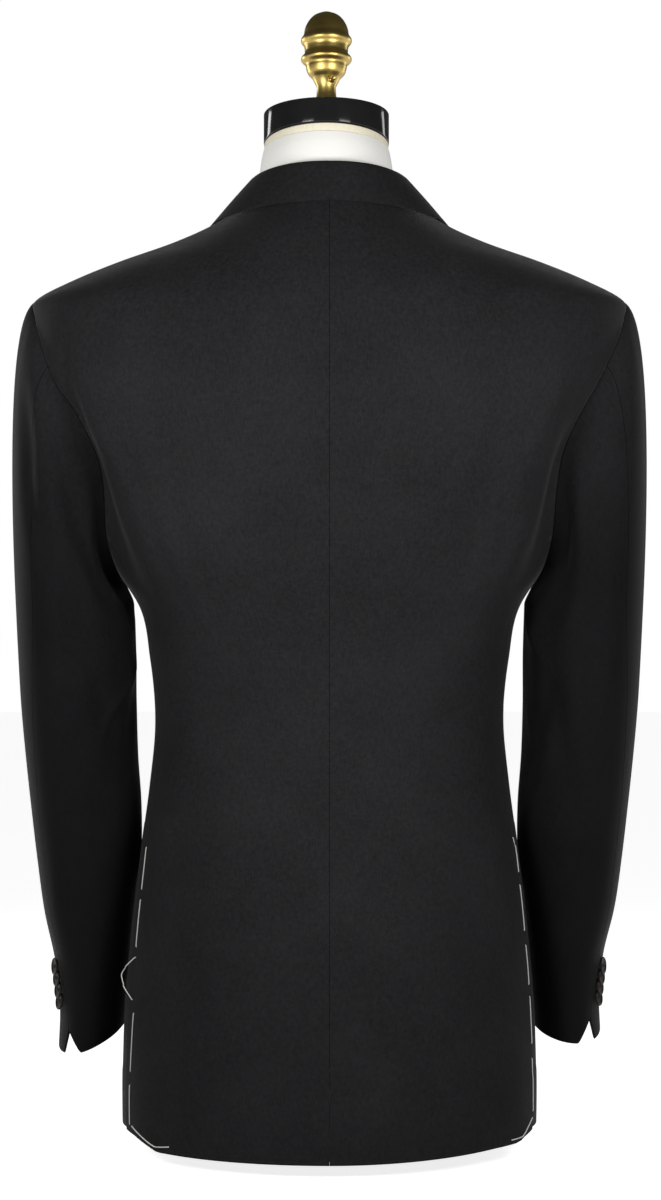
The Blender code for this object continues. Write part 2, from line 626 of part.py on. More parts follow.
def lapel_edge(v):
    """x and z of the lapel's outer edge, from the foot of its roll to its tip."""
    foot = np.array([front_edge(BREAK_HEIGHT) + LAPEL_FOOT[0], BREAK_HEIGHT + LAPEL_FOOT[1]])
    along = LAPEL_TIP - foot
    outward = np.array([along[1], -along[0]]) / np.linalg.norm(along)
    bow = LAPEL_BELLY * np.sin(np.pi * np.clip(v, 0, 1)) ** 1.2
    return foot + along * v[:, None] + outward * bow[:, None]


def make_lapel(name, side):
    """The turned-back lapel: it rolls round the front's edge and lies on the front.

    The right one comes out from under the left front, so its foot slants along that front's edge.
    """
    heights = front_rows()[2]
    heights = heights[heights > (BREAK_HEIGHT if side > 0 else CROSSING) - 1e-6]
    roll = np.stack([front_edge(heights), heights], -1)
    v = (heights - heights[0]) / (heights[-1] - heights[0])
    edge = lapel_edge(v if side > 0 else RIGHT_LAPEL_START + (1 - RIGHT_LAPEL_START) * v)
    share = np.linalg.norm(NOTCH - GORGE_ROLL)
    share = share / (share + np.linalg.norm(LAPEL_TIP - NOTCH))
    u = np.concatenate([line(0, share, GORGE_COLUMNS), line(share, 1, TIP_COLUMNS)[1:]])
    gorge = GORGE_ROLL + (NOTCH - GORGE_ROLL) * line(0, 1, GORGE_COLUMNS)[:, None]
    tip = NOTCH + (LAPEL_TIP - NOTCH) * line(0, 1, TIP_COLUMNS)[1:, None]
    bottom = roll[0] + (edge[0] - roll[0]) * u[:, None]
    places = coons(bottom, np.concatenate([gorge, tip]), roll, edge, u, v)
    angles = angle_at(places[..., 0], places[..., 1], True)
    normals = body_normal(angles, places[..., 1], side)
    panel = body(angles, places[..., 1], side)
    panel = panel + normals * lap_lift(places[..., 0], places[..., 1], side)[..., None]
    # Round the front's edge: an arc about the middle of its wall, then flat on the panel.
    inward = unit(panel[:, 1] - panel[:, 0])
    middle = []
    for turn in np.radians((90, 60, 30, 8)):
        around = -inward * math.sin(turn) + normals[:, 0] * math.cos(turn)
        middle.append(panel[:, 0] - normals[:, 0] * WALL / 2 + around * (WALL + LAY_GAP))
    bloom = LAPEL_BLOOM * np.sin(np.pi * u) ** 2 * (1 - v[:, None])
    flat = panel + normals * (LAY_GAP + WALL / 2 + bloom)[..., None]
    net = np.concatenate([np.stack(middle, 1), flat[:, 1:]], axis=1)
    facing = net_normals(net)
    facing *= np.sign(np.sum(facing[:, -3] * normals[:, -3], axis=-1))[:, None, None]
    net = trim_edges(net, facing, SEAM_GAP / 2)
    sheet(name, net + facing * WALL / 2, net - facing * WALL / 2, side)


# ---------------------------------------------------------------- collar

COLLAR_STATIONS = np.concatenate([line(0, 3, 2 * NECK_COLUMNS), line(3, 5, NECK_COLUMNS)[1:]])


def neck_place(station):
    """Angle and height of the neck seam on the body, from centre back to the gorge."""
    if station <= 3:
        angle = np.pi / 2 * station / 3
        return angle, NECK_BACK + (NECK_POINT - NECK_BACK) * math.sin(angle) ** 2
    place = shoulder_seam(0.0) + (GORGE_ROLL - shoulder_seam(0.0)) * (station - 3) / 2
    return float(angle_at(place[0], place[1], True)), float(place[1])


def neck_seam(station, side):
    """The neck seam's point and normal, on the straight runs between the panels' own columns."""
    run = 3 / NECK_COLUMNS if station < 3 else 2 / NECK_COLUMNS
    start = 3 * (station >= 3)
    before = min(start + run * math.floor((station - start) / run + 1e-6), 5)
    after = min(before + run, 5)
    angles, heights = np.array([neck_place(before), neck_place(after)]).T
    points, normals = body(angles, heights, side), body_normal(angles, heights, side)
    share = (station - before) / run
    along = unit(points[1] - points[0]) if after > before else np.zeros(3)
    point = points[0] + (points[1] - points[0]) * share
    return point, unit(normals[0] * (1 - share) + normals[1] * share), along


def collar_section(station, side):
    """The collar's middle line at one station: seam, stand, fold, fall and outer edge."""
    seam, normal, _ = neck_seam(station, side)
    along = neck_seam(min(station, 4.99), side)[2]
    up = unit(np.cross(along, normal))
    near_gorge = float(ease(station - 4))
    if near_gorge > 0:
        notch = body(angle_at(NOTCH[:1], NOTCH[1:], True), NOTCH[1:], side)[0]
        up = unit(up * (1 - near_gorge) - unit(notch - seam) * near_gorge)
    foot = seam - normal * WALL / 2 - along * GORGE_CLEAR * near_gorge
    fold = foot + up * at(COLLAR, "rise", station) + normal * at(COLLAR, "lean", station)
    edge_angle = np.radians(at(COLLAR, "edge_angle", np.array([station])))
    edge_height = at(COLLAR, "edge_height", np.array([station]))
    edge_normal = body_normal(edge_angle, edge_height, side)[0]
    edge = body(edge_angle, edge_height, side)[0] + edge_normal * (LAY_GAP + WALL / 2)
    down_stand, down_fall = unit(foot - fold), unit(edge - fold)
    apex, across = -unit(down_stand + down_fall), unit(down_fall - down_stand)
    centre = fold - apex * FOLD_RADIUS
    arc = [centre + FOLD_RADIUS * (math.cos(t) * across + math.sin(t) * apex)
           for t in np.radians((165, 115, 65, 15))]  # fmt: skip
    middle = (arc[-1] + edge) / 2 + unit(normal + edge_normal) * FALL_BOW * (1 - near_gorge)
    fall = []
    for t in (0.3, 0.6, 0.8, 1.0):
        free = (1 - t) ** 2 * arc[-1] + 2 * t * (1 - t) * middle + t * t * edge
        if near_gorge > 0:
            free = free * (1 - near_gorge) + fall_on_front(station, t, side) * near_gorge
        fall.append(free)
    return np.array([foot] + arc + fall), normal


def fall_on_front(station, t, side):
    """A point of the fall where it lies flat on the front, by way of the notch's inner corner."""
    start_angle, start_height = neck_place(station)
    start = np.array([plain_body(np.array([start_angle]), np.array([start_height]))[0, 0], start_height])
    edge_angle = np.radians(at(COLLAR, "edge_angle", np.array([station])))
    edge_height = at(COLLAR, "edge_height", np.array([station]))
    end = np.array([plain_body(edge_angle, edge_height)[0, 0], edge_height[0]])
    kink = NOTCH + (1 - ease(station - 4)) * ((start + end) / 2 - NOTCH)
    if t <= FALL_KINK:
        place = start + (kink - start) * t / FALL_KINK
    else:
        place = kink + (end - kink) * (t - FALL_KINK) / (1 - FALL_KINK)
    angle = angle_at(place[:1], place[1:], True)
    normal = body_normal(angle, place[1:], side)[0]
    return body(angle, place[1:], side)[0] + normal * (LAY_GAP + WALL / 2)


def make_collar():
    """The whole collar, folded over its stand, from one gorge round the neck to the other."""
    rows, feet = [], []
    for side, stations in ((-1, COLLAR_STATIONS[:0:-1]), (1, COLLAR_STATIONS)):
        for station in stations:
            section, seam_normal = collar_section(station, side)
            rows.append(section * (side, 1, 1))
            feet.append(seam_normal * (side, 1, 1))
    net = np.array(rows)
    facing = net_normals(net)
    facing *= np.sign(facing[len(net) // 2, -3, 1])
    # The seam edge of the stand is cut square to the body, like the panels' edge that it meets.
    facing[:, 0] = -np.array(feet)
    net = trim_edges(net, facing, SEAM_GAP / 2)
    sheet("collar", net + facing * WALL / 2, net - facing * WALL / 2, 1)


# ---------------------------------------------------------------- sleeves


def make_sleeve(word, side):
    """The top sleeve and the under sleeve, split at the hind and fore seams."""
    net = sleeve_net(side)
    normals = sleeve_normals(net)
    mitre = armhole_mitre(side)
    turns = 360 // SLEEVE_COLUMNS * np.arange(HIND_COLUMN, HIND_COLUMN + SLEEVE_COLUMNS + 1)
    normals[0] = [mitre[int(t) % 360] for t in turns]
    split = FORE_COLUMN - HIND_COLUMN
    for part, columns in (("under", slice(0, split + 1)), ("top", slice(split, None))):
        outer = net[:, columns].copy()
        nick = 0 if part == "under" else -1
        turn = sleeve_turns(CUFF)[columns][nick] + CUFF_NICK_ANGLE * (1 if part == "under" else -1)
        outer[-1, nick] = sleeve_ring(np.array([turn]), np.array([CUFF]), side)[0]
        outer = trim_edges(outer, normals[:, columns], SEAM_GAP / 2)
        sheet(f"{part}_sleeve_{word}", outer, outer - normals[:, columns] * WALL, side)


# ---------------------------------------------------------------- pockets and buttons


def make_flap(name, side):
    """A hip pocket's flap with rounded lower corners, lying on the front and the side body."""
    columns, rows = 12, 3
    share = line(0, 1, columns)
    angles = FLAP_ANGLES[0] + (FLAP_ANGLES[1] - FLAP_ANGLES[0]) * share
    rounding = np.sqrt(np.clip(1 - np.abs(2 * share - 1) ** 8, 0, 1))
    depth = FLAP_CORNER_DEPTH + (FLAP_DEPTH - FLAP_CORNER_DEPTH) * rounding
    top = FLAP_TOP - FLAP_DROP * (1 - share)
    heights = top - depth * line(0, 1, rows)[:, None]
    angles = np.broadcast_to(angles, heights.shape).copy()
    normals = body_normal(angles, heights, side)
    under = body(angles, heights, side) + normals * LAY_GAP
    sheet(name, under + normals * WALL, under, side)


def make_breast_welt():
    """The slanted welt of the breast pocket on the wearer's left."""
    share = line(0, 1, 8)
    x = WELT_X[0] + (WELT_X[1] - WELT_X[0]) * share
    low = WELT_LOW[0] + (WELT_LOW[1] - WELT_LOW[0]) * share
    heights = np.stack([low, low + WELT_DEPTH])
    angles = angle_at(np.broadcast_to(x, heights.shape), heights, True)
    normals = body_normal(angles, heights, 1)
    under = body(angles, heights, 1) + normals * LAY_GAP
    sheet("breast_welt", under + normals * WALL, under, 1)


def make_button(name, centre, normal, up, radius):
    """A turned button with a dished face and a raised rim, seated flat against the cloth."""
    sides = 12
    rim = BUTTON_THICKNESS
    profile = [(0.0, 0.0), (0.86, 0.0), (1.0, 0.5 * rim), (0.90, rim), (0.72, 0.68 * rim), (0.0, 0.62 * rim)]
    across = unit(np.cross(up, normal))
    upright = np.cross(normal, across)
    points, faces = [centre + normal * profile[0][1]], []
    for share, depth in profile[1:-1]:
        for k in range(sides):
            turn = 2 * math.pi * k / sides
            spoke = across * math.cos(turn) + upright * math.sin(turn)
            points.append(centre + spoke * share * radius + normal * depth)
    points.append(centre + normal * profile[-1][1])
    rings = len(profile) - 2
    for k in range(sides):
        following = (k + 1) % sides
        faces.append((0, 1 + following, 1 + k))
        for r in range(rings - 1):
            a, b = 1 + r * sides + k, 1 + r * sides + following
            faces.append((a, b, b + sides, a + sides))
        last = 1 + (rings - 1) * sides
        faces.append((last + k, last + following, len(points) - 1))
    piece(name, points, faces, HORN, smooth_below=50.0)


def make_front_buttons():
    front = bpy.data.objects["front_left"]
    for word, height in (("top", BUTTON_TOP), ("low", BUTTON_LOW)):
        _, place, normal, _ = front.ray_cast((0, -1, height), (0, 1, 0))
        centre = np.array(place + normal * BUTTON_SHANK)
        up = np.array([0.0, 0.0, 1.0])
        make_button(f"front_button_{word}", centre, np.array(normal), up, FRONT_BUTTON_RADIUS)


def make_cuff_buttons(word, side):
    """Four buttons up each cuff's vent, each one tucked under the edge of the one above it."""
    tilt = math.asin((BUTTON_THICKNESS + BUTTON_OVERLAP_GAP) / CUFF_BUTTON_PITCH)
    for k in range(CUFF_BUTTONS):
        height = CUFF_BUTTON_LOWEST[side] + k * CUFF_BUTTON_PITCH
        turn = np.radians(at(SLEEVE, "hind", height) - CUFF_BUTTON_TURN)
        around, along = np.array([turn]), np.array([height])
        ring = sleeve_ring(around, along, side)[0]
        up = unit(sleeve_ring(around, along + 0.01, side)[0] - ring)
        beside = unit(sleeve_ring(around + 0.05, along, side)[0] - ring)
        normal = unit(np.cross(beside, up))
        leant_normal = normal * math.cos(tilt) + up * math.sin(tilt)
        leant_up = up * math.cos(tilt) - normal * math.sin(tilt)
        raised = CUFF_BUTTON_RADIUS * math.sin(tilt) + BUTTON_SHANK
        centre = (ring + normal * raised) * (side, 1, 1)
        mirror = np.array([side, 1, 1])
        make_button(f"cuff_button_{word}_{k + 1}", centre, leant_normal * mirror, leant_up * mirror,
                    CUFF_BUTTON_RADIUS)  # fmt: skip


# ---------------------------------------------------------------- the dress form

FORM_SEGMENTS = 28
FORM_FOOT_TOP = 0.0500
FORM_ROWS = (FORM_FOOT_TOP, 0.056, 0.070, 0.120, 0.180, 0.240, 0.290, 0.330, 0.370, 0.410, 0.450, 0.490,
             0.530, 0.570, 0.610, 0.640, 0.662, 0.679, 0.693, 0.705, 0.716, 0.727, 0.737)  # fmt: skip
# How far the form lies inside the jacket's outer face, by height: close along the shoulder's
# ridge, where it carries the cloth, and further in before and behind it.
FORM_INSET = table(
    "height ridge inset",
    (0.050, 0.0160, 0.0160),
    (0.240, 0.0140, 0.0140),
    (0.340, 0.0110, 0.0110),
    (0.460, 0.0130, 0.0120),
    (0.580, 0.0110, 0.0100),
    (0.640, 0.0080, 0.0085),
    (0.680, 0.0045, 0.0068),
    (0.700, 0.0030, 0.0056),
    (0.725, 0.0030, 0.0050),
    (0.738, 0.0050, 0.0055),
)
FORM_ARM_INSET = 0.022  # drawn in further beside each armhole
FORM_ROUNDED_FOOT = 0.012  # and at its rounded lower edge
FORM_NECK = table(
    "height half_width centre_y half_depth",
    (0.7480, 0.0620, 0.0075, 0.0545),
    (0.7580, 0.0570, 0.0070, 0.0545),
    (0.7700, 0.0540, 0.0065, 0.0535),
    (0.7850, 0.0520, 0.0050, 0.0520),
    (0.7929, 0.0505, 0.0035, 0.0505),
)
NECK_OFFSET = 0.0025  # the neck stands this far to the wearer's left
SCREW_BEARING = 110.0
SCREW_HEIGHT = 0.0250
SCREW_SEAT = 0.0116
FOOT_HALF = (0.1050, 0.0680)
# The cap is a wedge: it closes the neck, and its back stands higher than its front.
CAP_RADIUS = 0.0500
CAP_Y = 0.0030
CAP_FOOT, CAP_TOP = 0.8003, 0.8250  # heights on the neck's axis
CAP_FOOT_SLOPE = math.tan(math.radians(12.0))
CAP_TOP_SLOPE = math.tan(math.radians(6.4))
PIPING_HEIGHT = 0.0070

# The turned brass finial: radius at each height above the cap.
FINIAL = table(
    "height radius",
    (0.0000, 0.0112),
    (0.0290, 0.0112),
    (0.0320, 0.0142),
    (0.0370, 0.0162),
    (0.0405, 0.0170),
    (0.0430, 0.0198),
    (0.0460, 0.0200),
    (0.0485, 0.0178),
    (0.0525, 0.0174),
    (0.0560, 0.0182),
    (0.0585, 0.0201),
    (0.0612, 0.0202),
    (0.0640, 0.0184),
    (0.0690, 0.0174),
    (0.0735, 0.0157),
    (0.0775, 0.0131),
    (0.0808, 0.0094),
    (0.0832, 0.0040),
)


def lathe(name, radii, heights, centre_of, look, half=(1.0, 1.0), segments=24):
    """A closed turned body. half squashes each ring to an oval, and centre_of places it."""
    points, faces = [], []
    for radius, height in zip(radii, heights):
        for k in range(segments):
            turn = 2 * math.pi * k / segments
            x, y = radius * half[0] * math.cos(turn), radius * half[1] * math.sin(turn)
            points.append(centre_of(np.array([x, y, height])))
    rings = len(heights)
    for r in range(rings - 1):
        for k in range(segments):
            a, b = r * segments + k, r * segments + (k + 1) % segments
            faces.append((a, b, b + segments, a + segments))
    faces.append(tuple(reversed(range(segments))))
    faces.append(tuple((rings - 1) * segments + k for k in range(segments)))
    return piece(name, points, faces, look)


def on_neck(local):
    """A point on the neck's axis: its height is measured along the cap's sloping planes."""
    x, y, z = local
    rise = (z - CAP_FOOT) / (CAP_TOP - CAP_FOOT)
    slope = CAP_FOOT_SLOPE + (CAP_TOP_SLOPE - CAP_FOOT_SLOPE) * min(max(rise, 0.0), 1.0)
    return np.array([NECK_OFFSET + x, CAP_Y + y, z + slope * y])


def make_form():
    """The torso and neck in one smooth body: no arms, and a flat underside."""
    turns = 2 * np.pi * np.arange(FORM_SEGMENTS) / FORM_SEGMENTS
    rows = []
    for height in FORM_ROWS:
        place = height + 0 * turns
        near_ridge = np.exp(-((np.cos(turns) / 0.30) ** 2))
        ridge, inset = at(FORM_INSET, "ridge", place), at(FORM_INSET, "inset", place)
        inset = inset + (ridge - inset) * near_ridge
        beside = np.exp(-((np.cos(turns) / 0.55) ** 2))
        window = ease((height - 0.400) / 0.08) * ease((0.684 - height) / 0.05)
        inset = inset + FORM_ARM_INSET * beside * window
        inset = inset + FORM_ROUNDED_FOOT * ease((0.0700 - height) / 0.020)
        row = plain_body(turns, place) - normals_of(plain_body, turns, place) * inset[:, None]
        if height < 0.6:
            row[:, 2] = height
        rows.append(row)
    for height in FORM_NECK["height"]:
        x = NECK_OFFSET + at(FORM_NECK, "half_width", height) * np.sin(turns)
        y = at(FORM_NECK, "centre_y", height) + at(FORM_NECK, "half_depth", height) * np.cos(turns)
        lean = CAP_FOOT_SLOPE * ease((height - 0.745) / 0.048)
        rows.append(np.stack([x, y, height + lean * (y - CAP_Y)], -1))
    points = np.concatenate(rows)
    faces = []
    for r in range(len(rows) - 1):
        for k in range(FORM_SEGMENTS):
            a, b = r * FORM_SEGMENTS + k, r * FORM_SEGMENTS + (k + 1) % FORM_SEGMENTS
            faces.append((a, b, b + FORM_SEGMENTS, a + FORM_SEGMENTS))
    faces.append(tuple(range(FORM_SEGMENTS)))
    faces.append(tuple((len(rows) - 1) * FORM_SEGMENTS + k for k in range(FORM_SEGMENTS)))
    piece("form_body", points, faces, JERSEY)


def make_form_top():
    """Cream piping, the black cap that closes the neck, and the brass finial with its set screw."""
    low, high = CAP_FOOT - PIPING_HEIGHT, CAP_FOOT - SEAM_GAP
    radii = (0.0486, 0.0496, 0.0496, 0.0486)
    heights = (low, low + 0.001, high - 0.001, high)
    lathe("form_piping", radii, heights, on_neck, CREAM, segments=32)
    bevel = 0.0014
    radii = (CAP_RADIUS - bevel, CAP_RADIUS, CAP_RADIUS, CAP_RADIUS - bevel)
    heights = (CAP_FOOT, CAP_FOOT + bevel, CAP_TOP - bevel, CAP_TOP)
    lathe("form_cap", radii, heights, on_neck, LACQUER, segments=40)
    base = CAP_TOP + SEAM_GAP
    lean = math.atan(CAP_TOP_SLOPE)

    def on_finial(local):
        x, y, z = local
        y, z = y - z * math.sin(lean), z * math.cos(lean) + y * math.sin(lean)
        return np.array([NECK_OFFSET + x, CAP_Y + y, base + z])

    lathe("form_finial", FINIAL["radius"], FINIAL["height"], on_finial, BRASS, segments=20)
    # The set screw's head stands just off the finial's neck, on its back.
    bearing = math.radians(SCREW_BEARING)
    outward = np.array([math.cos(bearing), math.sin(bearing), 0.0])
    beside, seat = np.array([-outward[1], outward[0], 0.0]), outward * SCREW_SEAT + (0, 0, SCREW_HEIGHT)

    def on_screw(local):
        x, y, z = local
        return on_finial(seat + beside * x + outward * z + (0, 0, y))

    radii = (0.0026, 0.0030, 0.0030, 0.0022)
    lathe("form_screw", radii, (0.0, 0.0008, 0.0024, 0.0032), on_screw, BRASS, segments=12)


def make_form_foot():
    """The low oval plinth that the torso stands on, set well inside the jacket's hem."""
    top = FORM_FOOT_TOP - SEAM_GAP
    shares = (0.97, 1.0, 1.0, 0.97)
    heights = (0.0, 0.003, top - 0.003, top)
    lathe("form_foot", shares, heights, lambda p: np.array(p), LACQUER, half=FOOT_HALF, segments=40)


# ---------------------------------------------------------------- the object

for left_over in list(bpy.data.objects):
    bpy.data.objects.remove(left_over)

for hand, way in (("left", 1), ("right", -1)):
    make_back(f"back_{hand}", way)
    make_side_body(f"side_body_{hand}", way)
    make_front(f"front_{hand}", way)
    make_lapel(f"lapel_{hand}", way)
    make_sleeve(hand, way)
    make_flap(f"pocket_flap_{hand}", way)
    make_cuff_buttons(hand, way)
make_collar()
make_breast_welt()
make_front_buttons()
make_form()
make_form_top()
make_form_foot()
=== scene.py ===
# A single-breasted blazer worn on a limbless countertop dress form, seen from behind.
import math

import bpy
import numpy as np
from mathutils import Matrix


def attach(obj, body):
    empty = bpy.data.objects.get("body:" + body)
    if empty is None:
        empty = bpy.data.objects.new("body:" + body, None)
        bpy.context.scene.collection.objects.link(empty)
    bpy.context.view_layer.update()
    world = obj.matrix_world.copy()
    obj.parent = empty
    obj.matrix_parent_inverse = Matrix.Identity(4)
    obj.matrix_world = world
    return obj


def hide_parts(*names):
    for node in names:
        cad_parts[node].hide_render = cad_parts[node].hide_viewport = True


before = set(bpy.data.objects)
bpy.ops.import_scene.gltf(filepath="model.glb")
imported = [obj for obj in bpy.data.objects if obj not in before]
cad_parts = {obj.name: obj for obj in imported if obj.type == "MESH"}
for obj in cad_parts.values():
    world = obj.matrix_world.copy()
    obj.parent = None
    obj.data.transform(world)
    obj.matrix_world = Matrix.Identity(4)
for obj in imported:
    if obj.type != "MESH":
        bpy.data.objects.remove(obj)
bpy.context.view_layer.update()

# ---------------------------------------------------------------- the studio
# A level camera behind the jacket, at the photograph's viewing angle, a plain pale floor, and soft
# boxes: one at each side of the camera, and a narrow one wide out on each side before the jacket.

FOCAL_LENGTH = 86.25  # millimetres
CAMERA_PLACE = (-0.0008, 2.3, 0.437)
lens = bpy.data.cameras.new("lens")
lens.lens = FOCAL_LENGTH
camera = bpy.data.objects.new("camera", lens)
camera.location = CAMERA_PLACE
camera.rotation_euler = (math.pi / 2, 0.0, math.pi)
bpy.context.scene.collection.objects.link(camera)
bpy.context.scene.camera = camera


def soft_box(name, place, aim, size, power):
    light = bpy.data.lights.new(name, "AREA")
    light.shape = "RECTANGLE"
    light.size, light.size_y = size
    light.energy = power
    lamp = bpy.data.objects.new(name, light)
    lamp.location = place
    lamp.visible_camera = False
    away = np.array(place) - np.array(aim)
    flat = math.hypot(away[0], away[1])
    lamp.rotation_euler = (math.atan2(flat, away[2]), 0.0, math.atan2(away[0], -away[1]))
    bpy.context.scene.collection.objects.link(lamp)


BLACK_POINT = 0.0005
soft_box("rear_left", (0.48, 0.77, 0.60), (0.0, 0.05, 0.60), (0.30, 0.36), 5.5)
soft_box("rear_right", (-0.48, 0.77, 0.60), (0.0, 0.05, 0.60), (0.30, 0.36), 5.5)
soft_box("front_left", (1.15, -0.87, 0.75), (0.0, 0.0, 0.50), (0.24, 0.80), 5.0)
soft_box("front_right", (-1.15, -0.87, 0.75), (0.0, 0.0, 0.50), (0.20, 0.80), 2.6)
bpy.context.scene.view_settings.view_transform = "Standard"
bpy.context.scene.view_settings.use_curve_mapping = True
bpy.context.scene.view_settings.curve_mapping.black_level = (BLACK_POINT,) * 3
bpy.context.scene.view_settings.curve_mapping.update()


class Wire:
    """An output in a material's nodes. A sum, difference or product of wires adds a Math node."""

    def __init__(self, tree, socket=None):
        self.tree = tree
        self.socket = socket

    def node(self, kind, settings=None, inputs=None, output=0):
        """Any node: its settings are set first, then its sockets, by name or by number."""
        made = self.tree.nodes.new(kind)
        for name, value in (settings or {}).items():
            setattr(made, name, value)
        for name, value in (inputs or {}).items():
            if isinstance(value, Wire):
                self.tree.links.new(value.socket, made.inputs[name])
            else:
                made.inputs[name].default_value = value
        return Wire(self.tree, made.outputs[output])

    def maths(self, operation, first, second):
        return self.node("ShaderNodeMath", {"operation": operation}, {0: first, 1: second})

    def __add__(self, other):
        return self.maths("ADD", self, other)

    def __sub__(self, other):
        return self.maths("SUBTRACT", self, other)

    def __mul__(self, other):
        return self.maths("MULTIPLY", self, other)

    def sine(self):
        return self.node("ShaderNodeMath", {"operation": "SINE"}, {0: self})

    def blend(self, low, high):
        """A colour from low, where this wire is 0, to high, where it is 1."""
        settings = {"data_type": "RGBA", "clamp_factor": True}
        return self.node("ShaderNodeMix", settings, {0: self, 6: low, 7: high}, output=2)


# The paper behind the jacket is white, but its light is faint beside the soft boxes.
PAPER, PAPER_LIGHT, PAPER_GLOSS = 1.0, 0.18, 0.07
world = bpy.data.worlds.new("studio")
world.use_nodes = True
bpy.context.scene.world = world
wire = Wire(world.node_tree)
seen = wire.node("ShaderNodeLightPath")
mirrored = wire.node("ShaderNodeLightPath", output=3)
strength = seen * (PAPER - PAPER_LIGHT) + mirrored * (PAPER_GLOSS - PAPER_LIGHT) + PAPER_LIGHT
background = world.node_tree.nodes["Background"]
background.inputs["Color"].default_value = (1.0, 1.0, 1.0, 1.0)
world.node_tree.links.new(strength.socket, background.inputs["Strength"])


def finish(name, **constants):
    """A new material with its shader's constants set, a wire to build on, and the place on the piece."""
    made = bpy.data.materials.new(name)
    made.use_nodes = True
    shader = made.node_tree.nodes["Principled BSDF"]
    for socket, value in constants.items():
        shader.inputs[socket.replace("_", " ")].default_value = value
    wire = Wire(made.node_tree)
    return made, wire, wire.node("ShaderNodeTexCoord", output=3)


def feed(material, socket, wire):
    """Links a wire to one of the shader's sockets."""
    material.node_tree.links.new(wire.socket, material.node_tree.nodes["Principled BSDF"].inputs[socket])


def noise(wire, place, scale, detail=2.0, roughness=0.5):
    inputs = {"Vector": place, "Scale": scale, "Detail": detail, "Roughness": roughness}
    return wire.node("ShaderNodeTexNoise", {}, inputs)


def scaled(wire, place, scale):
    return wire.node("ShaderNodeMapping", {}, {"Vector": place, "Scale": scale})


def part_of(wire, place, axis):
    """One coordinate of a place: 0, 1 or 2."""
    return wire.node("ShaderNodeSeparateXYZ", {}, {"Vector": place}, output=axis)


def bumped(wire, height, distance, strength=1.0):
    return wire.node("ShaderNodeBump", {}, {"Height": height, "Distance": distance, "Strength": strength})


FLOOR_GLOW = 0.80
FLOOR_RADIUS, FLOOR_SIDES, FLOOR_SINK = 9.0, 96, 0.0005
floor_finish, wire, where = finish("pale_floor", Roughness=0.9, Emission_Strength=FLOOR_GLOW,
                                   Emission_Color=(1, 1, 1, 1))
floor_finish.cycles.emission_sampling = "NONE"
feed(floor_finish, "Base Color", noise(wire, where, 3.0).blend((0.86, 0.86, 0.86, 1), (0.90, 0.90, 0.90, 1)))
turns = np.linspace(0, 2 * math.pi, FLOOR_SIDES + 1)[:-1]
rim = [(FLOOR_RADIUS * math.cos(t), FLOOR_RADIUS * math.sin(t), -FLOOR_SINK) for t in turns]
floor_mesh = bpy.data.meshes.new("floor")
floor_mesh.from_pydata(rim, [], [list(range(FLOOR_SIDES))])
floor_mesh.materials.append(floor_finish)
floor = bpy.data.objects.new("floor", floor_mesh)
floor.visible_diffuse = False
bpy.context.scene.collection.objects.link(floor)

# ---------------------------------------------------------------- the dress form's foot
# A low oval plinth of lacquered board, with its edges eased, hidden inside the jacket's hem. The
# torso is screwed down on it.

lacquer, wire, where = finish("black_lacquer_shine", Specular_IOR_Level=0.22)
smears = noise(wire, where, 40.0, 4.0, 0.6)
feed(lacquer, "Base Color", smears.blend((0.008, 0.008, 0.009, 1), (0.016, 0.016, 0.015, 1)))
feed(lacquer, "Roughness", smears * 0.10 + 0.05)


def mesh_piece(name, points, faces, material, stands_for=None, smooth_below=35.0):
    """A mesh object that rides on the one body, shaded smooth where it is rounded. A piece that stands
    for one of the solids takes that solid's place."""
    mesh = bpy.data.meshes.new(name)
    mesh.from_pydata(np.asarray(points).tolist(), [], [tuple(int(i) for i in f) for f in faces])
    mesh.validate()
    mesh.shade_smooth()
    mesh.set_sharp_from_angle(angle=math.radians(smooth_below))
    mesh.materials.append(material)
    made = bpy.data.objects.new(name, mesh)
    bpy.context.scene.collection.objects.link(made)
    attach(made, "root")
    if stands_for:
        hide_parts(stands_for)
    return made


def tube_faces(rings, sides, first=0):
    """The wall of a tube of point rings, and the caps that close its two ends."""
    faces = []
    last = first + (rings - 1) * sides
    for start in range(first, last, sides):
        for k in range(sides):
            a, b = start + k, start + (k + 1) % sides
            faces.append((a, b, b + sides, a + sides))
    return faces + [tuple(range(first, first + sides))[::-1], tuple(range(last, last + sides))]


def turned(name, radii, heights, place_of, material, stands_for, half=(1.0, 1.0), segments=96):
    """A turned body: a ring at each radius and height, closed at both ends."""
    spin = 2 * np.pi * np.arange(segments) / segments
    points = []
    for radius, height in zip(radii, heights):
        for t in spin:
            local = np.array([radius * half[0] * math.cos(t), radius * half[1] * math.sin(t), height])
            points.append(place_of(local))
    return mesh_piece(name, points, tube_faces(len(heights), segments), material, stands_for)


def eased_edge(low, high, easing, steps=5):
    """Shares and heights of a straight side whose two edges are rounded by easing."""
    bend = np.linspace(0, math.pi / 2, steps)
    drawn_in = easing * (1 - np.sin(bend))
    heights = np.concatenate([low + easing * (1 - np.cos(bend)), high - easing * (1 - np.cos(bend))[::-1]])
    return np.concatenate([drawn_in, drawn_in[::-1]]), heights


FOOT_HALF = (0.1050, 0.0680)
FOOT_TOP = 0.0497
FOOT_EASING = 0.0030
drawn_in, heights = eased_edge(0.0, FOOT_TOP, FOOT_EASING)
shares = 1 - drawn_in / FOOT_HALF[1]
turned("plinth", shares, heights, lambda p: p, lacquer, "form_foot", half=FOOT_HALF)

# ---------------------------------------------------------------- the torso and neck
# A moulded torso with no arms, covered in off-white stretch jersey. It follows the jacket's inside
# a few millimetres away, so its shape is worked out from the jacket's own sections.


def table(names, *rows):
    """A table with named columns, read by smooth curves along its first column."""
    return dict(zip(names.split(), np.array(rows, float).T))


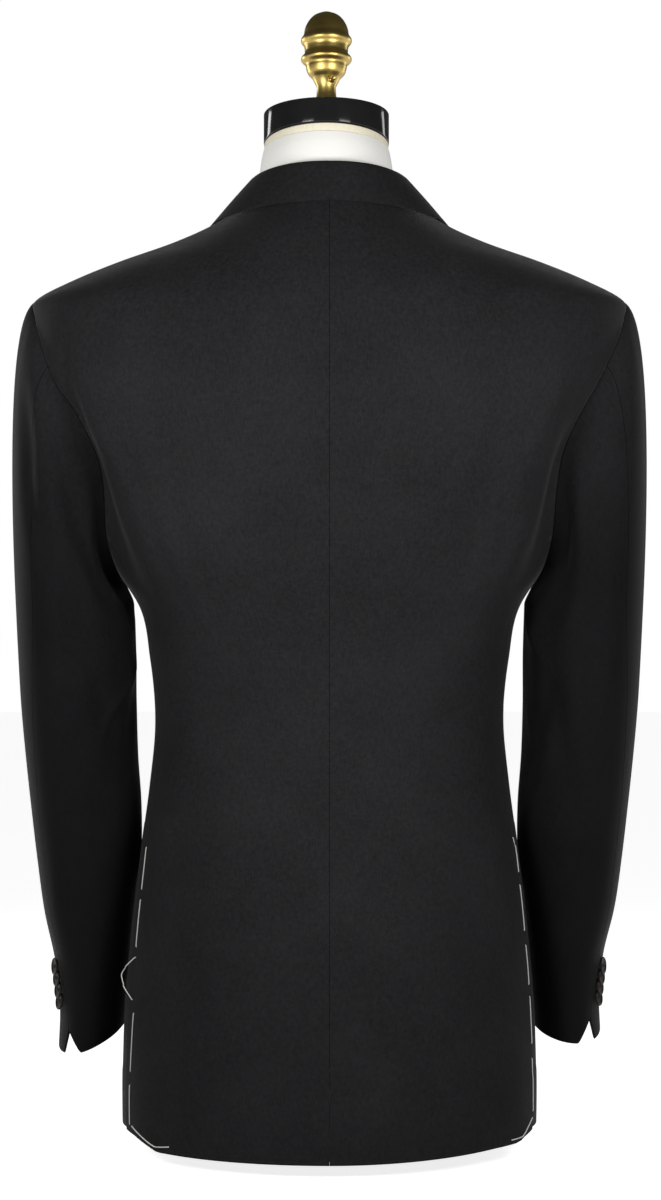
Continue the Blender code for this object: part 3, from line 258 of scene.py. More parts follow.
def at(rows, name, place):
    """The named column at a place along the table's first column, on a smooth curve."""
    stations = rows[next(iter(rows))]
    values = rows[name]
    slopes = np.gradient(values, stations)
    place = np.clip(place, stations[0], stations[-1])
    i = np.clip(np.searchsorted(stations, place) - 1, 0, len(stations) - 2)
    span = stations[i + 1] - stations[i]
    t = (place - stations[i]) / span
    start = values[i] * (1 + 2 * t) * (1 - t) ** 2 + slopes[i] * span * t * (1 - t) ** 2
    end = values[i + 1] * t * t * (3 - 2 * t) - slopes[i + 1] * span * t * t * (1 - t)
    return start + end


def ease(t):
    """0 to 1, level at both ends."""
    t = np.clip(t, 0.0, 1.0)
    return t * t * (3 - 2 * t)


def unit(vectors):
    return vectors / np.maximum(np.linalg.norm(vectors, axis=-1, keepdims=True), 1e-12)


# The jacket's outer face, one row for each height: half width, where that lies, its reach to the
# back and the front, and how much squarer than an ellipse each half is.
BODY = table(
    "height half_width side_y back_y front_y back_square front_square",
    (0.000, 0.1650, 0.000, 0.1330, -0.1160, 0.00, 0.06),
    (0.060, 0.1655, 0.000, 0.1320, -0.1170, 0.00, 0.06),
    (0.120, 0.1630, 0.000, 0.1285, -0.1180, 0.00, 0.06),
    (0.180, 0.1575, -0.001, 0.1220, -0.1180, 0.02, 0.06),
    (0.240, 0.1505, -0.002, 0.1130, -0.1165, 0.04, 0.06),
    (0.290, 0.1438, -0.003, 0.1040, -0.1150, 0.06, 0.07),
    (0.340, 0.1395, -0.004, 0.0985, -0.1150, 0.08, 0.08),
    (0.390, 0.1436, -0.004, 0.0995, -0.1190, 0.10, 0.09),
    (0.433, 0.1527, -0.004, 0.1040, -0.1230, 0.12, 0.10),
    (0.460, 0.1700, -0.003, 0.1080, -0.1250, 0.13, 0.11),
    (0.490, 0.1870, -0.002, 0.1130, -0.1260, 0.14, 0.12),
    (0.520, 0.1990, -0.001, 0.1165, -0.1255, 0.14, 0.12),
    (0.550, 0.2085, 0.000, 0.1185, -0.1235, 0.14, 0.12),
    (0.580, 0.2200, 0.000, 0.1190, -0.1190, 0.13, 0.11),
    (0.610, 0.2320, 0.001, 0.1180, -0.1120, 0.12, 0.10),
    (0.640, 0.2375, 0.002, 0.1145, -0.1010, 0.10, 0.08),
    (0.660, 0.2380, 0.003, 0.1110, -0.0910, 0.08, 0.06),
    (0.675, 0.2345, 0.003, 0.1070, -0.0810, 0.06, 0.05),
    (0.690, 0.2065, 0.004, 0.1010, -0.0715, 0.04, 0.04),
    (0.705, 0.1700, 0.004, 0.0935, -0.0630, 0.02, 0.03),
    (0.720, 0.1270, 0.005, 0.0860, -0.0560, 0.00, 0.02),
    (0.735, 0.0935, 0.005, 0.0790, -0.0510, 0.00, 0.02),
    (0.750, 0.0725, 0.006, 0.0725, -0.0480, 0.00, 0.02),
    (0.762, 0.0655, 0.006, 0.0680, -0.0470, 0.00, 0.02),
)


def plain_body(angle, height):
    """The jacket's outer face without folds. angle is 0 at centre back and pi at centre front."""
    s, c = np.sin(angle), np.cos(angle)
    back = c >= 0
    side_y = at(BODY, "side_y", height)
    reach = np.where(back, at(BODY, "back_y", height) - side_y, side_y - at(BODY, "front_y", height))
    square = np.where(back, at(BODY, "back_square", height), at(BODY, "front_square", height))
    x = at(BODY, "half_width", height) * s * (1 + square * c * c)
    y = side_y + reach * c * (1 + square * s * s)
    return np.stack([x, y, height + 0 * x], -1)


def normals_of(surface, angle, height):
    """Outward normals of surface(angle, height), by small steps."""
    d_angle, d_height = 0.004, 0.0008
    round_it = surface(angle + d_angle, height) - surface(angle - d_angle, height)
    up_it = surface(angle, height + d_height) - surface(angle, height - d_height)
    return -unit(np.cross(round_it, up_it))


FORM_INSET = table(
    "height ridge inset",
    (0.050, 0.0160, 0.0160),
    (0.240, 0.0140, 0.0140),
    (0.340, 0.0110, 0.0110),
    (0.460, 0.0130, 0.0120),
    (0.580, 0.0110, 0.0100),
    (0.640, 0.0080, 0.0085),
    (0.680, 0.0045, 0.0068),
    (0.700, 0.0030, 0.0056),
    (0.725, 0.0030, 0.0050),
    (0.738, 0.0050, 0.0055),
)
FORM_NECK = table(
    "height half_width centre_y half_depth",
    (0.7480, 0.0620, 0.0075, 0.0545),
    (0.7580, 0.0570, 0.0070, 0.0545),
    (0.7700, 0.0540, 0.0065, 0.0535),
    (0.7850, 0.0520, 0.0050, 0.0520),
    (0.7929, 0.0505, 0.0035, 0.0505),
)
FORM_ROWS = (0.050, 0.056, 0.070, 0.120, 0.180, 0.240, 0.290, 0.330, 0.370, 0.410, 0.450, 0.490,
             0.530, 0.570, 0.610, 0.640, 0.662, 0.679, 0.693, 0.705, 0.716, 0.727, 0.737)
# How the torso departs from an even inset: nearer to the cloth along the shoulders' ridge, drawn in
# under the arms, and rounded at its foot. Its rows lie level up to the chest.
FORM_RIDGE_SPREAD = 0.30
FORM_ARM_INSET, FORM_ARM_SPREAD = 0.022, 0.55
FORM_ARM_FOOT, FORM_ARM_RISE = 0.400, 0.08
FORM_ARM_TOP, FORM_ARM_FALL = 0.684, 0.05
FORM_ROUNDED_FOOT, FOOT_ROUNDED_TO, FOOT_ROUNDED_RUN = 0.012, 0.0700, 0.020
LEVEL_BELOW, LEVEL_RUN = 0.62, 0.04
NECK_LEAN_FROM, NECK_LEAN_RUN = 0.745, 0.048
NECK_OFFSET = 0.0025
CAP_Y = 0.0030
CAP_FOOT_SLOPE = math.tan(math.radians(12.0))

jersey, wire, where = finish("jersey_knit", Roughness=0.85, Sheen_Weight=0.15, Sheen_Roughness=0.5)
knit = noise(wire, where, 1400.0, 1.0)
soil = noise(wire, where, 9.0, 3.0)
feed(jersey, "Base Color", soil.blend((0.80, 0.79, 0.75, 1), (0.88, 0.87, 0.83, 1)))
feed(jersey, "Normal", bumped(wire, knit, 0.00012, 0.6))


def spread(stops, between):
    """Each stop, with this many more evenly placed after it."""
    fine = [np.linspace(a, b, between + 1)[:-1] for a, b in zip(stops, stops[1:])]
    return np.concatenate(fine + [[stops[-1]]])


TORSO_SEGMENTS = 112
spin = 2 * np.pi * np.arange(TORSO_SEGMENTS) / TORSO_SEGMENTS
rows = []
for height in spread(FORM_ROWS, 3):
    place = height + 0 * spin
    near_ridge = np.exp(-((np.cos(spin) / FORM_RIDGE_SPREAD) ** 2))
    ridge, inset = at(FORM_INSET, "ridge", place), at(FORM_INSET, "inset", place)
    inset = inset + (ridge - inset) * near_ridge
    beside = np.exp(-((np.cos(spin) / FORM_ARM_SPREAD) ** 2))
    window = ease((height - FORM_ARM_FOOT) / FORM_ARM_RISE) * ease((FORM_ARM_TOP - height) / FORM_ARM_FALL)
    inset = inset + FORM_ARM_INSET * beside * window
    inset = inset + FORM_ROUNDED_FOOT * ease((FOOT_ROUNDED_TO - height) / FOOT_ROUNDED_RUN)
    row = plain_body(spin, place) - normals_of(plain_body, spin, place) * inset[:, None]
    level = row.copy()
    level[:, 2] = height
    rows.append(row + (level - row) * ease((LEVEL_BELOW - height) / LEVEL_RUN))
for height in spread(FORM_NECK["height"], 3):
    x = NECK_OFFSET + at(FORM_NECK, "half_width", height) * np.sin(spin)
    y = at(FORM_NECK, "centre_y", height) + at(FORM_NECK, "half_depth", height) * np.cos(spin)
    lean = CAP_FOOT_SLOPE * ease((height - NECK_LEAN_FROM) / NECK_LEAN_RUN)
    rows.append(np.stack([x, y, height + lean * (y - CAP_Y)], -1))
faces = [face[::-1] for face in tube_faces(len(rows), TORSO_SEGMENTS)]
mesh_piece("torso", np.concatenate(rows), faces, jersey, "form_body", smooth_below=60.0)

# ---------------------------------------------------------------- piping and neck cap
# A cream tape is glued round the top of the jersey. Over it sits a wedge of lacquered wood, higher
# at its back than its front, that closes the neck.

CAP_FOOT, CAP_TOP = 0.8003, 0.8250
CAP_RADIUS = 0.0500
CAP_TOP_SLOPE = math.tan(math.radians(6.4))
CAP_EASING = 0.0014
PIPING_RADIUS, PIPING_HEIGHT, PIPING_EASING = 0.0496, 0.0070, 0.0010
SEAT_GAP = 0.0003


def on_neck(local):
    """A point on the neck's axis: its height is measured along the cap's sloping planes."""
    x, y, z = local
    rise = (z - CAP_FOOT) / (CAP_TOP - CAP_FOOT)
    slope = CAP_FOOT_SLOPE + (CAP_TOP_SLOPE - CAP_FOOT_SLOPE) * min(max(rise, 0.0), 1.0)
    return np.array([NECK_OFFSET + x, CAP_Y + y, z + slope * y])


tape, wire, where = finish("cream_woven_tape", Roughness=0.8)
ribs = noise(wire, scaled(wire, where, (900.0, 900.0, 160.0)), 1.0)
feed(tape, "Base Color", ribs.blend((0.66, 0.60, 0.45, 1), (0.82, 0.77, 0.62, 1)))
feed(tape, "Normal", bumped(wire, ribs, 0.0002, 0.8))
drawn_in, heights = eased_edge(CAP_FOOT - PIPING_HEIGHT, CAP_FOOT - SEAT_GAP, PIPING_EASING)
turned("piping", PIPING_RADIUS - drawn_in, heights, on_neck, tape, "form_piping")
drawn_in, heights = eased_edge(CAP_FOOT, CAP_TOP, CAP_EASING)
turned("neck_cap", CAP_RADIUS - drawn_in, heights, on_neck, lacquer, "form_cap")

# ---------------------------------------------------------------- finial and set screw
# A knob turned in brass, gone dull and a little dark in patches. A set screw through its neck
# fixes it to the spindle that comes up through the cap.

FINIAL = table(
    "height radius",
    (0.0000, 0.0112),
    (0.0290, 0.0112),
    (0.0320, 0.0142),
    (0.0370, 0.0162),
    (0.0405, 0.0170),
    (0.0430, 0.0198),
    (0.0460, 0.0200),
    (0.0485, 0.0178),
    (0.0525, 0.0174),
    (0.0560, 0.0182),
    (0.0585, 0.0201),
    (0.0612, 0.0202),
    (0.0640, 0.0184),
    (0.0690, 0.0174),
    (0.0735, 0.0157),
    (0.0775, 0.0131),
    (0.0808, 0.0094),
    (0.0832, 0.0040),
)
SCREW_BEARING = math.radians(110.0)
SCREW_HEIGHT = 0.0250
SCREW_SEAT = 0.0116
SCREW_PROFILE = ((0.0026, 0.0000), (0.0030, 0.0008), (0.0030, 0.0020), (0.0026, 0.0028), (0.0022, 0.0032),
                 (0.0012, 0.0024))

brass, wire, where = finish("aged_brass", Metallic=1.0)
tarnish = noise(wire, where, 60.0, 5.0, 0.6)
lathe_marks = noise(wire, scaled(wire, where, (40.0, 40.0, 2600.0)), 1.0, 1.0)
feed(brass, "Base Color", tarnish.blend((0.30, 0.20, 0.050, 1), (0.68, 0.52, 0.17, 1)))
feed(brass, "Roughness", tarnish * 0.22 + 0.24)
feed(brass, "Normal", bumped(wire, lathe_marks, 0.00008, 0.5))


def on_finial(local):
    """A point on the finial's own axis, square to the cap's top."""
    lean = math.atan(CAP_TOP_SLOPE)
    x, y, z = local
    y, z = y - z * math.sin(lean), z * math.cos(lean) + y * math.sin(lean)
    return np.array([NECK_OFFSET + x, CAP_Y + y, CAP_TOP + SEAT_GAP + z])


heights = spread(FINIAL["height"], 4)
turned("finial", at(FINIAL, "radius", heights), heights, on_finial, brass, "form_finial")

outward = np.array([math.cos(SCREW_BEARING), math.sin(SCREW_BEARING), 0.0])
beside = np.array([-outward[1], outward[0], 0.0])
seat = outward * SCREW_SEAT + (0, 0, SCREW_HEIGHT)


def on_screw(local):
    x, y, z = local
    return on_finial(seat + beside * x + outward * z + (0, 0, y))


radii, heights = np.array(SCREW_PROFILE).T
turned("set_screw", radii, heights, on_screw, brass, "form_screw", segments=32)

# ---------------------------------------------------------------- the two backs
# Each half of the back is cut from charcoal-black worsted, joined to its pair by the centre seam,
# hemmed with a turned-up band, and left open below the waist as a side vent, basted shut.

SIDES = (("left", 1), ("right", -1))  # the wearer's sides: the left one lies at +X
WALL = 0.0020
SEAM_GAP = 0.0001
LAY_GAP = 0.0007
FOLDED_EDGE = 0.0006
SEWN_EDGE = 0.0002
HEM_BACK = 0.010
HEM_SIDE = 0.021
HEM_BOW = {1: 0.0000, -1: 0.0055}
HEM_TURN_UP = 0.042
HEM_LEDGE, HEM_LEDGE_RUN = 0.00030, 0.004
HEM_LEDGE_FADE, HEM_LEDGE_FADE_RUN = 0.110, 0.040
VENT_TOP = 0.250
VENT_SEAM_FOOT = 0.270
VENT_LAP = 0.008
VENT_EASE, VENT_EASE_RUN = 0.004, 0.016
VENT_LAP_FROM, VENT_LAP_RUN = 0.970, 0.030
VENT_STEP_FROM, VENT_STEP_RUN = 0.80, 0.165
VENT_CORNER = {1: 0.021, -1: 0.008}
NECK_BACK = 0.7520
NECK_POINT = 0.7440
SHOULDER_POINT = 0.6750
UNDERARM = 0.4550
BACK_SCOOP = math.radians(26.0)
FRONT_SCOOP = math.radians(34.0)
BACK_SEAM_FOOT = math.radians(69.0)
FRONT_SEAM_FOOT = math.radians(109.0)
BODY_JUNCTION = 135.0
BACK_NECK_SHARE = 0.36

# Broad drape folds, between two angles and two heights; side is 1 for the wearer's left.
BODY_FOLDS = table(
    "side top_angle low_angle top low spread lift",
    (1, 48, 52, 0.665, 0.390, 7, 0.0032),
    (1, 57, 70, 0.650, 0.425, 7, -0.0055),
    (-1, 45, 50, 0.665, 0.370, 8, 0.0034),
    (-1, 54, 66, 0.650, 0.425, 8, -0.0060),
    (1, 26, 36, 0.330, 0.010, 10, 0.0016),
    (-1, 30, 22, 0.300, 0.010, 11, 0.0014),
    (1, 136, 142, 0.640, 0.400, 8, 0.0024),
    (-1, 136, 142, 0.640, 0.400, 8, 0.0024),
)
# Smaller creases: the side, the width and lift in millimetres, a lift below zero
# being a trough, and then the places that the crease runs through, as degrees and a height.
BODY_CREASES = (
    (1, 9, -3.0, (58, 0.662), (58, 0.630), (60, 0.595), (62, 0.570)),
    (1, 22, -8.0, (68, 0.600), (66, 0.570), (63, 0.530), (62, 0.492), (68, 0.445)),
    (1, 6, 2.0, (50, 0.655), (56, 0.600), (52, 0.560), (46, 0.530), (45, 0.490), (52, 0.445)),
    (1, 9, 1.4, (41, 0.645), (39, 0.550), (40, 0.440)),
    (1, 8, -1.3, (34, 0.590), (33, 0.500), (34, 0.420)),
    (-1, 22, -8.0, (62, 0.640), (67, 0.607), (66, 0.575), (63, 0.545), (64, 0.501), (70, 0.452)),
    (-1, 7, 2.0, (47, 0.635), (47, 0.600), (44, 0.570), (42, 0.545), (44, 0.501), (53, 0.460)),
    (-1, 9, 1.4, (40, 0.570), (38, 0.500), (41, 0.430)),
    (-1, 8, -1.3, (35, 0.590), (33, 0.510), (36, 0.430)),
    (-1, 10, 1.0, (46, 0.660), (41, 0.610), (34, 0.560)),
    (1, 14, -0.7, (10, 0.346), (28, 0.344), (46, 0.332)),
    (1, 11, 0.5, (18, 0.314), (50, 0.300)),
    (1, 12, 0.6, (60, 0.300), (45, 0.280), (30, 0.250)),
    (1, 3, -0.35, (68, 0.162), (56, 0.158), (45, 0.157)),
    (1, 3, -0.40, (66, 0.069), (52, 0.068)),
    (1, 13, -0.6, (20, 0.150), (34, 0.120), (40, 0.080)),
    (-1, 12, -0.7, (16, 0.326), (36, 0.340), (52, 0.346)),
    (-1, 13, 0.5, (12, 0.372), (44, 0.352)),
    (-1, 3, -0.35, (43, 0.228), (66, 0.224)),
    (-1, 10, -0.6, (6, 0.208), (19, 0.186)),
    (-1, 9, -0.7, (38, 0.088), (47, 0.055)),
    (-1, 9, 0.5, (33, 0.084), (41, 0.050)),
    (1, 9, -0.8, (88, 0.440), (97, 0.330)),
    (-1, 9, -0.8, (92, 0.430), (84, 0.320)),
    (1, 8, 0.9, (176, 0.366), (150, 0.380), (124, 0.412)),
    (1, 8, -0.8, (174, 0.350), (148, 0.352), (122, 0.372)),
    (1, 8, 0.8, (172, 0.352), (148, 0.330), (122, 0.316)),
    (-1, 9, 0.8, (170, 0.368), (148, 0.382), (126, 0.408)),
    (-1, 9, -0.7, (170, 0.340), (146, 0.336), (120, 0.350)),
    (-1, 8, 0.8, (172, 0.346), (148, 0.326), (122, 0.312)),
    (1, 12, 0.8, (150, 0.190), (153, 0.120), (158, 0.050)),
    (-1, 12, -0.7, (146, 0.180), (149, 0.110), (153, 0.045)),
    (1, 12, -0.8, (118, 0.620), (124, 0.560), (126, 0.490)),
    (-1, 12, -0.8, (117, 0.620), (123, 0.560), (126, 0.490)),
)
BODY_RADIUS = 0.160  # turns the angle between two places into a distance
CREASE_STEPS = 24
CREASE_REACH = 0.0025  # past this many metres for each millimetre of width, a crease lifts nothing
CREASE_SWELL = 0.7


def distance_along(net, axis=0):
    """How far along this axis each row or column of a net lies, on average over the others."""
    steps = np.linalg.norm(np.diff(net, axis=axis), axis=-1)
    return np.concatenate([[0], np.cumsum(steps if steps.ndim == 1 else steps.mean(1 - axis))])


def curve_through(places, count):
    """Points evenly spaced along a smooth curve through these places."""
    run = distance_along(places)
    along = np.linspace(0, run[-1], count)
    return np.stack([at({"run": run, "value": column}, "value", along) for column in places.T], -1)


def crease_lift(creases, side, across, height, radius):
    """How far the creases lift the cloth at each place; across is an angle in radians."""
    lift = 0.0 * across
    flat = across * radius
    for crease_side, width, rise, *places in creases:
        if crease_side != side:
            continue
        x, z = curve_through(np.array(places) * (math.radians(1) * radius, 1.0), CREASE_STEPS + 1).T
        reach = CREASE_REACH * width
        close = (flat > x.min() - reach) & (flat < x.max() + reach)
        close &= (height > z.min() - reach) & (height < z.max() + reach)
        if not close.any():
            continue
        here_x, here_z = flat[close], height[close]
        nearest, share = np.full(here_x.shape, np.inf), 0.0 * here_x
        for k in range(CREASE_STEPS):
            run_x, run_z = x[k + 1] - x[k], z[k + 1] - z[k]
            t = ((here_x - x[k]) * run_x + (here_z - z[k]) * run_z) / (run_x**2 + run_z**2)
            t = np.clip(t, 0, 1)
            away = np.hypot(here_x - x[k] - t * run_x, here_z - z[k] - t * run_z)
            share = np.where(away < nearest, (k + t) / CREASE_STEPS, share)
            nearest = np.minimum(nearest, away)
        swell = np.sin(np.pi * share) ** CREASE_SWELL
        lift[close] += 0.001 * rise * swell * np.exp(-((nearest / (0.001 * width)) ** 2))
    return lift


def fold_lift(angle, height, side):
    lift = 0.0 * angle
    for i in np.flatnonzero(BODY_FOLDS["side"] == side):
        row = {name: column[i] for name, column in BODY_FOLDS.items()}
        along = np.clip((height - row["low"]) / (row["top"] - row["low"]), 0, 1)
        centre = np.radians(row["low_angle"] + (row["top_angle"] - row["low_angle"]) * along)
        across = (angle - centre) / math.radians(row["spread"])
        lift = lift + row["lift"] * np.sin(np.pi * along) ** 2 * np.exp(-across * across)
    lift = lift + crease_lift(BODY_CREASES, side, angle, height, BODY_RADIUS)
    # The pressed edge of the turned-up hem shows as a faint ledge.
    hem = HEM_BACK + (HEM_SIDE - HEM_BACK) * np.clip(np.sin(angle), 0, 1) ** 2
    above = ease((height - hem - HEM_TURN_UP) / HEM_LEDGE_RUN)
    return lift - HEM_LEDGE * above * ease((HEM_LEDGE_FADE - height) / HEM_LEDGE_FADE_RUN)


def body(angle, height, side):
    """The body's outer face with its folds, for the half at +X. side only picks the folds."""
    normal = normals_of(plain_body, angle, height)
    return plain_body(angle, height) + normal * fold_lift(angle, height, side)[..., None]


def body_normal(angle, height, side):
    return normals_of(lambda a, h: body(a, h, side), angle, height)


def angle_at(x, height, front):
    """The angle whose point on the body has this x: on the back, or on the front."""
    square = at(BODY, "front_square" if front else "back_square", height)
    share = x / at(BODY, "half_width", height)
    s = np.clip(share, -1, 1)
    for _ in range(12):
        s = np.clip(share / (1 + square * (1 - s * s)), -1, 1)
    return np.pi - np.arcsin(s) if front else np.arcsin(s)


def armhole(degrees):
    """Angle and height of the armhole seam: 0 at the shoulder point, 90 at the back, 180 below."""
    turn = np.radians(degrees)
    scoop = np.where(np.sin(turn) > 0, BACK_SCOOP, FRONT_SCOOP)
    middle, half = (SHOULDER_POINT + UNDERARM) / 2, (SHOULDER_POINT - UNDERARM) / 2
    return np.pi / 2 - scoop * np.sin(turn), middle + half * np.cos(turn)


# The sleeve's outer face is worked out here too, because the armhole's walls are cut along the
# mitre between body and sleeve.
SLEEVE = table(
    "height centre_x centre_y half_width half_depth tilt_y tilt_x hind fore",
    (0.088, 0.1925, -0.0540, 0.0285, 0.0590, 0.18, 0.25, 60, 238),
    (0.113, 0.1910, -0.0500, 0.0287, 0.0592, 0.18, 0.21, 51, 238),
    (0.153, 0.1912, -0.0415, 0.0314, 0.0598, 0.17, 0.14, 44, 238),
    (0.193, 0.1937, -0.0330, 0.0372, 0.0606, 0.15, 0.08, 42, 237),
    (0.233, 0.1940, -0.0245, 0.0419, 0.0620, 0.11, 0.03, 41, 236),
    (0.273, 0.1958, -0.0165, 0.0441, 0.0640, 0.06, 0.00, 40, 236),
    (0.313, 0.1988, -0.0100, 0.0447, 0.0660, 0.02, 0.00, 43, 235),
    (0.353, 0.2009, -0.0065, 0.0458, 0.0685, 0.00, 0.00, 46, 235),
    (0.393, 0.2021, -0.0060, 0.0469, 0.0700, 0.00, 0.00, 50, 235),
    (0.433, 0.2038, -0.0075, 0.0473, 0.0710, 0.00, 0.00, 54, 235),
)
SLEEVE_FOLDS = table(
    "side angle height length spread slant lift",
    (1, 150, 0.400, 0.120, 16, -260, 0.0036),
    (1, 118, 0.360, 0.110, 13, -300, -0.0030),
    (1, 140, 0.300, 0.110, 14, 280, 0.0030),
    (1, 95, 0.460, 0.190, 12, 60, -0.0028),
    (-1, 146, 0.410, 0.110, 15, 270, 0.0034),
    (-1, 120, 0.350, 0.120, 13, 300, -0.0030),
    (-1, 138, 0.290, 0.110, 14, -250, 0.0028),
    (-1, 95, 0.470, 0.190, 12, 50, -0.0030),
)
SLEEVE_SQUARE = 0.04
SLEEVE_TOP = 0.433
CUFF = 0.088
CUFF_HANG = {1: (0.13, 0.0000), -1: (-0.14, 0.0055)}
CUFF_HANG_TOP = 0.233
HIND_TURN, FORE_TURN = 60.0, 240.0  # degrees round the armhole where the sleeve's two seams start
CAP_LEAVE_OUT = (0.0375, 0.0280, -0.0075)
CAP_LEAVE_UP = (-0.0425, -0.0050, 0.0175)
CAP_LEAVE_BACK = 0.012
CAP_ARRIVE = (0.150, 0.130, 0.0)
TURN_STEP = 2.5
SLEEVE_TURNS = HIND_TURN + TURN_STEP * np.arange(int(360 / TURN_STEP) + 1)


def sleeve_ring(turn, height, side):
    """The sleeve below the underarm. turn is 0 at its outer side and pi/2 at its back."""
    s, c = np.sin(turn), np.cos(turn)
    lift = 0.0 * turn
    for i in np.flatnonzero(SLEEVE_FOLDS["side"] == side):
        row = {name: column[i] for name, column in SLEEVE_FOLDS.items()}
        away = height - row["height"]
        centre = np.radians(row["angle"] + row["slant"] * away)
        across = (turn - centre) / math.radians(row["spread"])
        fade = np.exp(-((2 * away / row["length"]) ** 2))
        lift = lift + row["lift"] * fade * np.exp(-across * across)
    dx = (at(SLEEVE, "half_width", height) + lift) * c * (1 + SLEEVE_SQUARE * s * s)
    dy = (at(SLEEVE, "half_depth", height) + lift) * s * (1 + SLEEVE_SQUARE * c * c)
    lean, rise = CUFF_HANG[side]
    hang = ease((CUFF_HANG_TOP - height) / (CUFF_HANG_TOP - CUFF))
    dz = rise * hang - at(SLEEVE, "tilt_y", height) * dy - (at(SLEEVE, "tilt_x", height) + lean * hang) * dx
    x = at(SLEEVE, "centre_x", height) + dx
    return np.stack([x, at(SLEEVE, "centre_y", height) + dy, height + dz], -1)


def ring_turns(height):
    """The turn of each of the sleeve's columns, whose two seams shift a little on the way down."""
    hind, fore = at(SLEEVE, "hind", height), at(SLEEVE, "fore", height)
    under = hind + (fore - hind) * (SLEEVE_TURNS - HIND_TURN) / (FORE_TURN - HIND_TURN)
    upper = fore + (hind + 360 - fore) * (SLEEVE_TURNS - FORE_TURN) / (HIND_TURN + 360 - FORE_TURN)
    return np.radians(np.where(SLEEVE_TURNS <= FORE_TURN, under, upper))


def waves(turn, amounts):
    level, once, twice = amounts
    return level + once * np.cos(turn) + twice * np.cos(2 * turn)


def sleeve_cap(steps, side):
    """Rows of points from the armhole (step 0) down to the sleeve's tube (step 1)."""
    hole = body(*armhole(SLEEVE_TURNS % 360), side)
    ring = sleeve_ring(ring_turns(SLEEVE_TOP), SLEEVE_TOP + 0 * SLEEVE_TURNS, side)
    below = sleeve_ring(ring_turns(SLEEVE_TOP), SLEEVE_TOP - 0.01 + 0 * SLEEVE_TURNS, side)
    turn = np.radians(SLEEVE_TURNS)
    leave_back = CAP_LEAVE_BACK * np.sin(turn)
    leave = np.stack([waves(turn, CAP_LEAVE_OUT), leave_back, waves(turn, CAP_LEAVE_UP)], -1)
    arrive = unit(below - ring) * waves(turn, CAP_ARRIVE)[:, None]
    rows = []
    for t in steps:
        start = hole * (1 + 2 * t) * (1 - t) ** 2 + leave * t * (1 - t) ** 2
        rows.append(start + ring * t * t * (3 - 2 * t) - arrive * t * t * (1 - t))
    return np.array(rows)


def tube_normals(net):
    """Normals of the closed sleeve, the same at both sides of its hind seam."""
    around = np.concatenate([net[:, -2:-1], net, net[:, 1:2]], axis=1)
    return unit(np.cross(np.gradient(net, axis=0), (around[:, 2:] - around[:, :-2]) / 2))


MITRES = {}
for _, side in SIDES:
    leaving = tube_normals(sleeve_cap((0.0, 0.05, 0.13), side))[0]
    shared = unit(body_normal(*armhole(SLEEVE_TURNS % 360), side) + leaving)
    MITRES[side] = {round(t % 360, 1): n for t, n in zip(SLEEVE_TURNS, shared)}

JUNCTION = float(armhole(BODY_JUNCTION)[1])
SEAM_HEIGHTS = np.concatenate([
    [HEM_SIDE, HEM_SIDE + 0.0009, HEM_SIDE + 0.0022, HEM_SIDE + 0.0042],
    np.linspace(HEM_SIDE + 0.008, JUNCTION, 112),
])
BACK_TURNS = np.arange(BODY_JUNCTION - TURN_STEP, -0.1, -TURN_STEP)


def seam_angle(height, front):
    """The side-back seam, or the seam between side body and front, as an angle round the body."""
    rise = (height - HEM_SIDE) / (JUNCTION - HEM_SIDE)
    end = armhole(360 - BODY_JUNCTION if front else BODY_JUNCTION)[0]
    start = FRONT_SEAM_FOOT if front else BACK_SEAM_FOOT
    return start + (end - start) * rise


def coons(bottom, top, left, right, u, v):
    """A net of points between four border lines: bottom and top at the u's, left and right at the v's."""
    u, v = u[None, :, None], v[:, None, None]
    ruled = (1 - v) * bottom[None] + v * top[None] + (1 - u) * left[:, None] + u * right[:, None]
    corners = (1 - u) * (1 - v) * bottom[0] + u * (1 - v) * bottom[-1]
    return ruled - corners - (1 - u) * v * top[0] - u * v * top[-1]


def shoulder_seam(share):
    """x and z along the ridge of the body, from the neck point (share 0) to the shoulder point (1)."""
    heights = np.linspace(NECK_POINT, SHOULDER_POINT, 400)
    widths = at(BODY, "half_width", heights)
    x = widths[0] + (widths[-1] - widths[0]) * share
    return np.stack([x, np.interp(x, widths, heights)], -1)


def top_line(neck, neck_share, u):
    """The panel's top border at each u: the neck seam's line, then the shoulder seam."""
    seam = shoulder_seam(np.clip((u - neck_share) / (1 - neck_share), 0, 1))
    at_neck = np.linspace(0, neck_share, len(neck))
    along_neck = np.stack([np.interp(u, at_neck, neck[:, 0]), np.interp(u, at_neck, neck[:, 1])], -1)
    return np.where((u < neck_share)[:, None], along_neck, seam)


def outer_border(front):
    """x and z up the panel's outer edge: its side seam, then its half of the armhole."""
    hole_angles, hole_heights = armhole(360 - BACK_TURNS if front else BACK_TURNS)
    angles = np.concatenate([seam_angle(SEAM_HEIGHTS, front), hole_angles])
    heights = np.concatenate([SEAM_HEIGHTS, hole_heights])
    return np.stack([plain_body(angles, heights)[:, 0], heights], -1)


def column_places(neck_share):
    """Columns across a panel, closer together at both of its edges."""
    near = np.array([0.0, 0.006, 0.014, 0.026])
    middle = np.linspace(0.042, 0.955, 44)
    far = np.array([0.970, 0.982, 0.990, 0.996, 1.0])
    return np.unique(np.concatenate([near, middle, far, [neck_share]]))


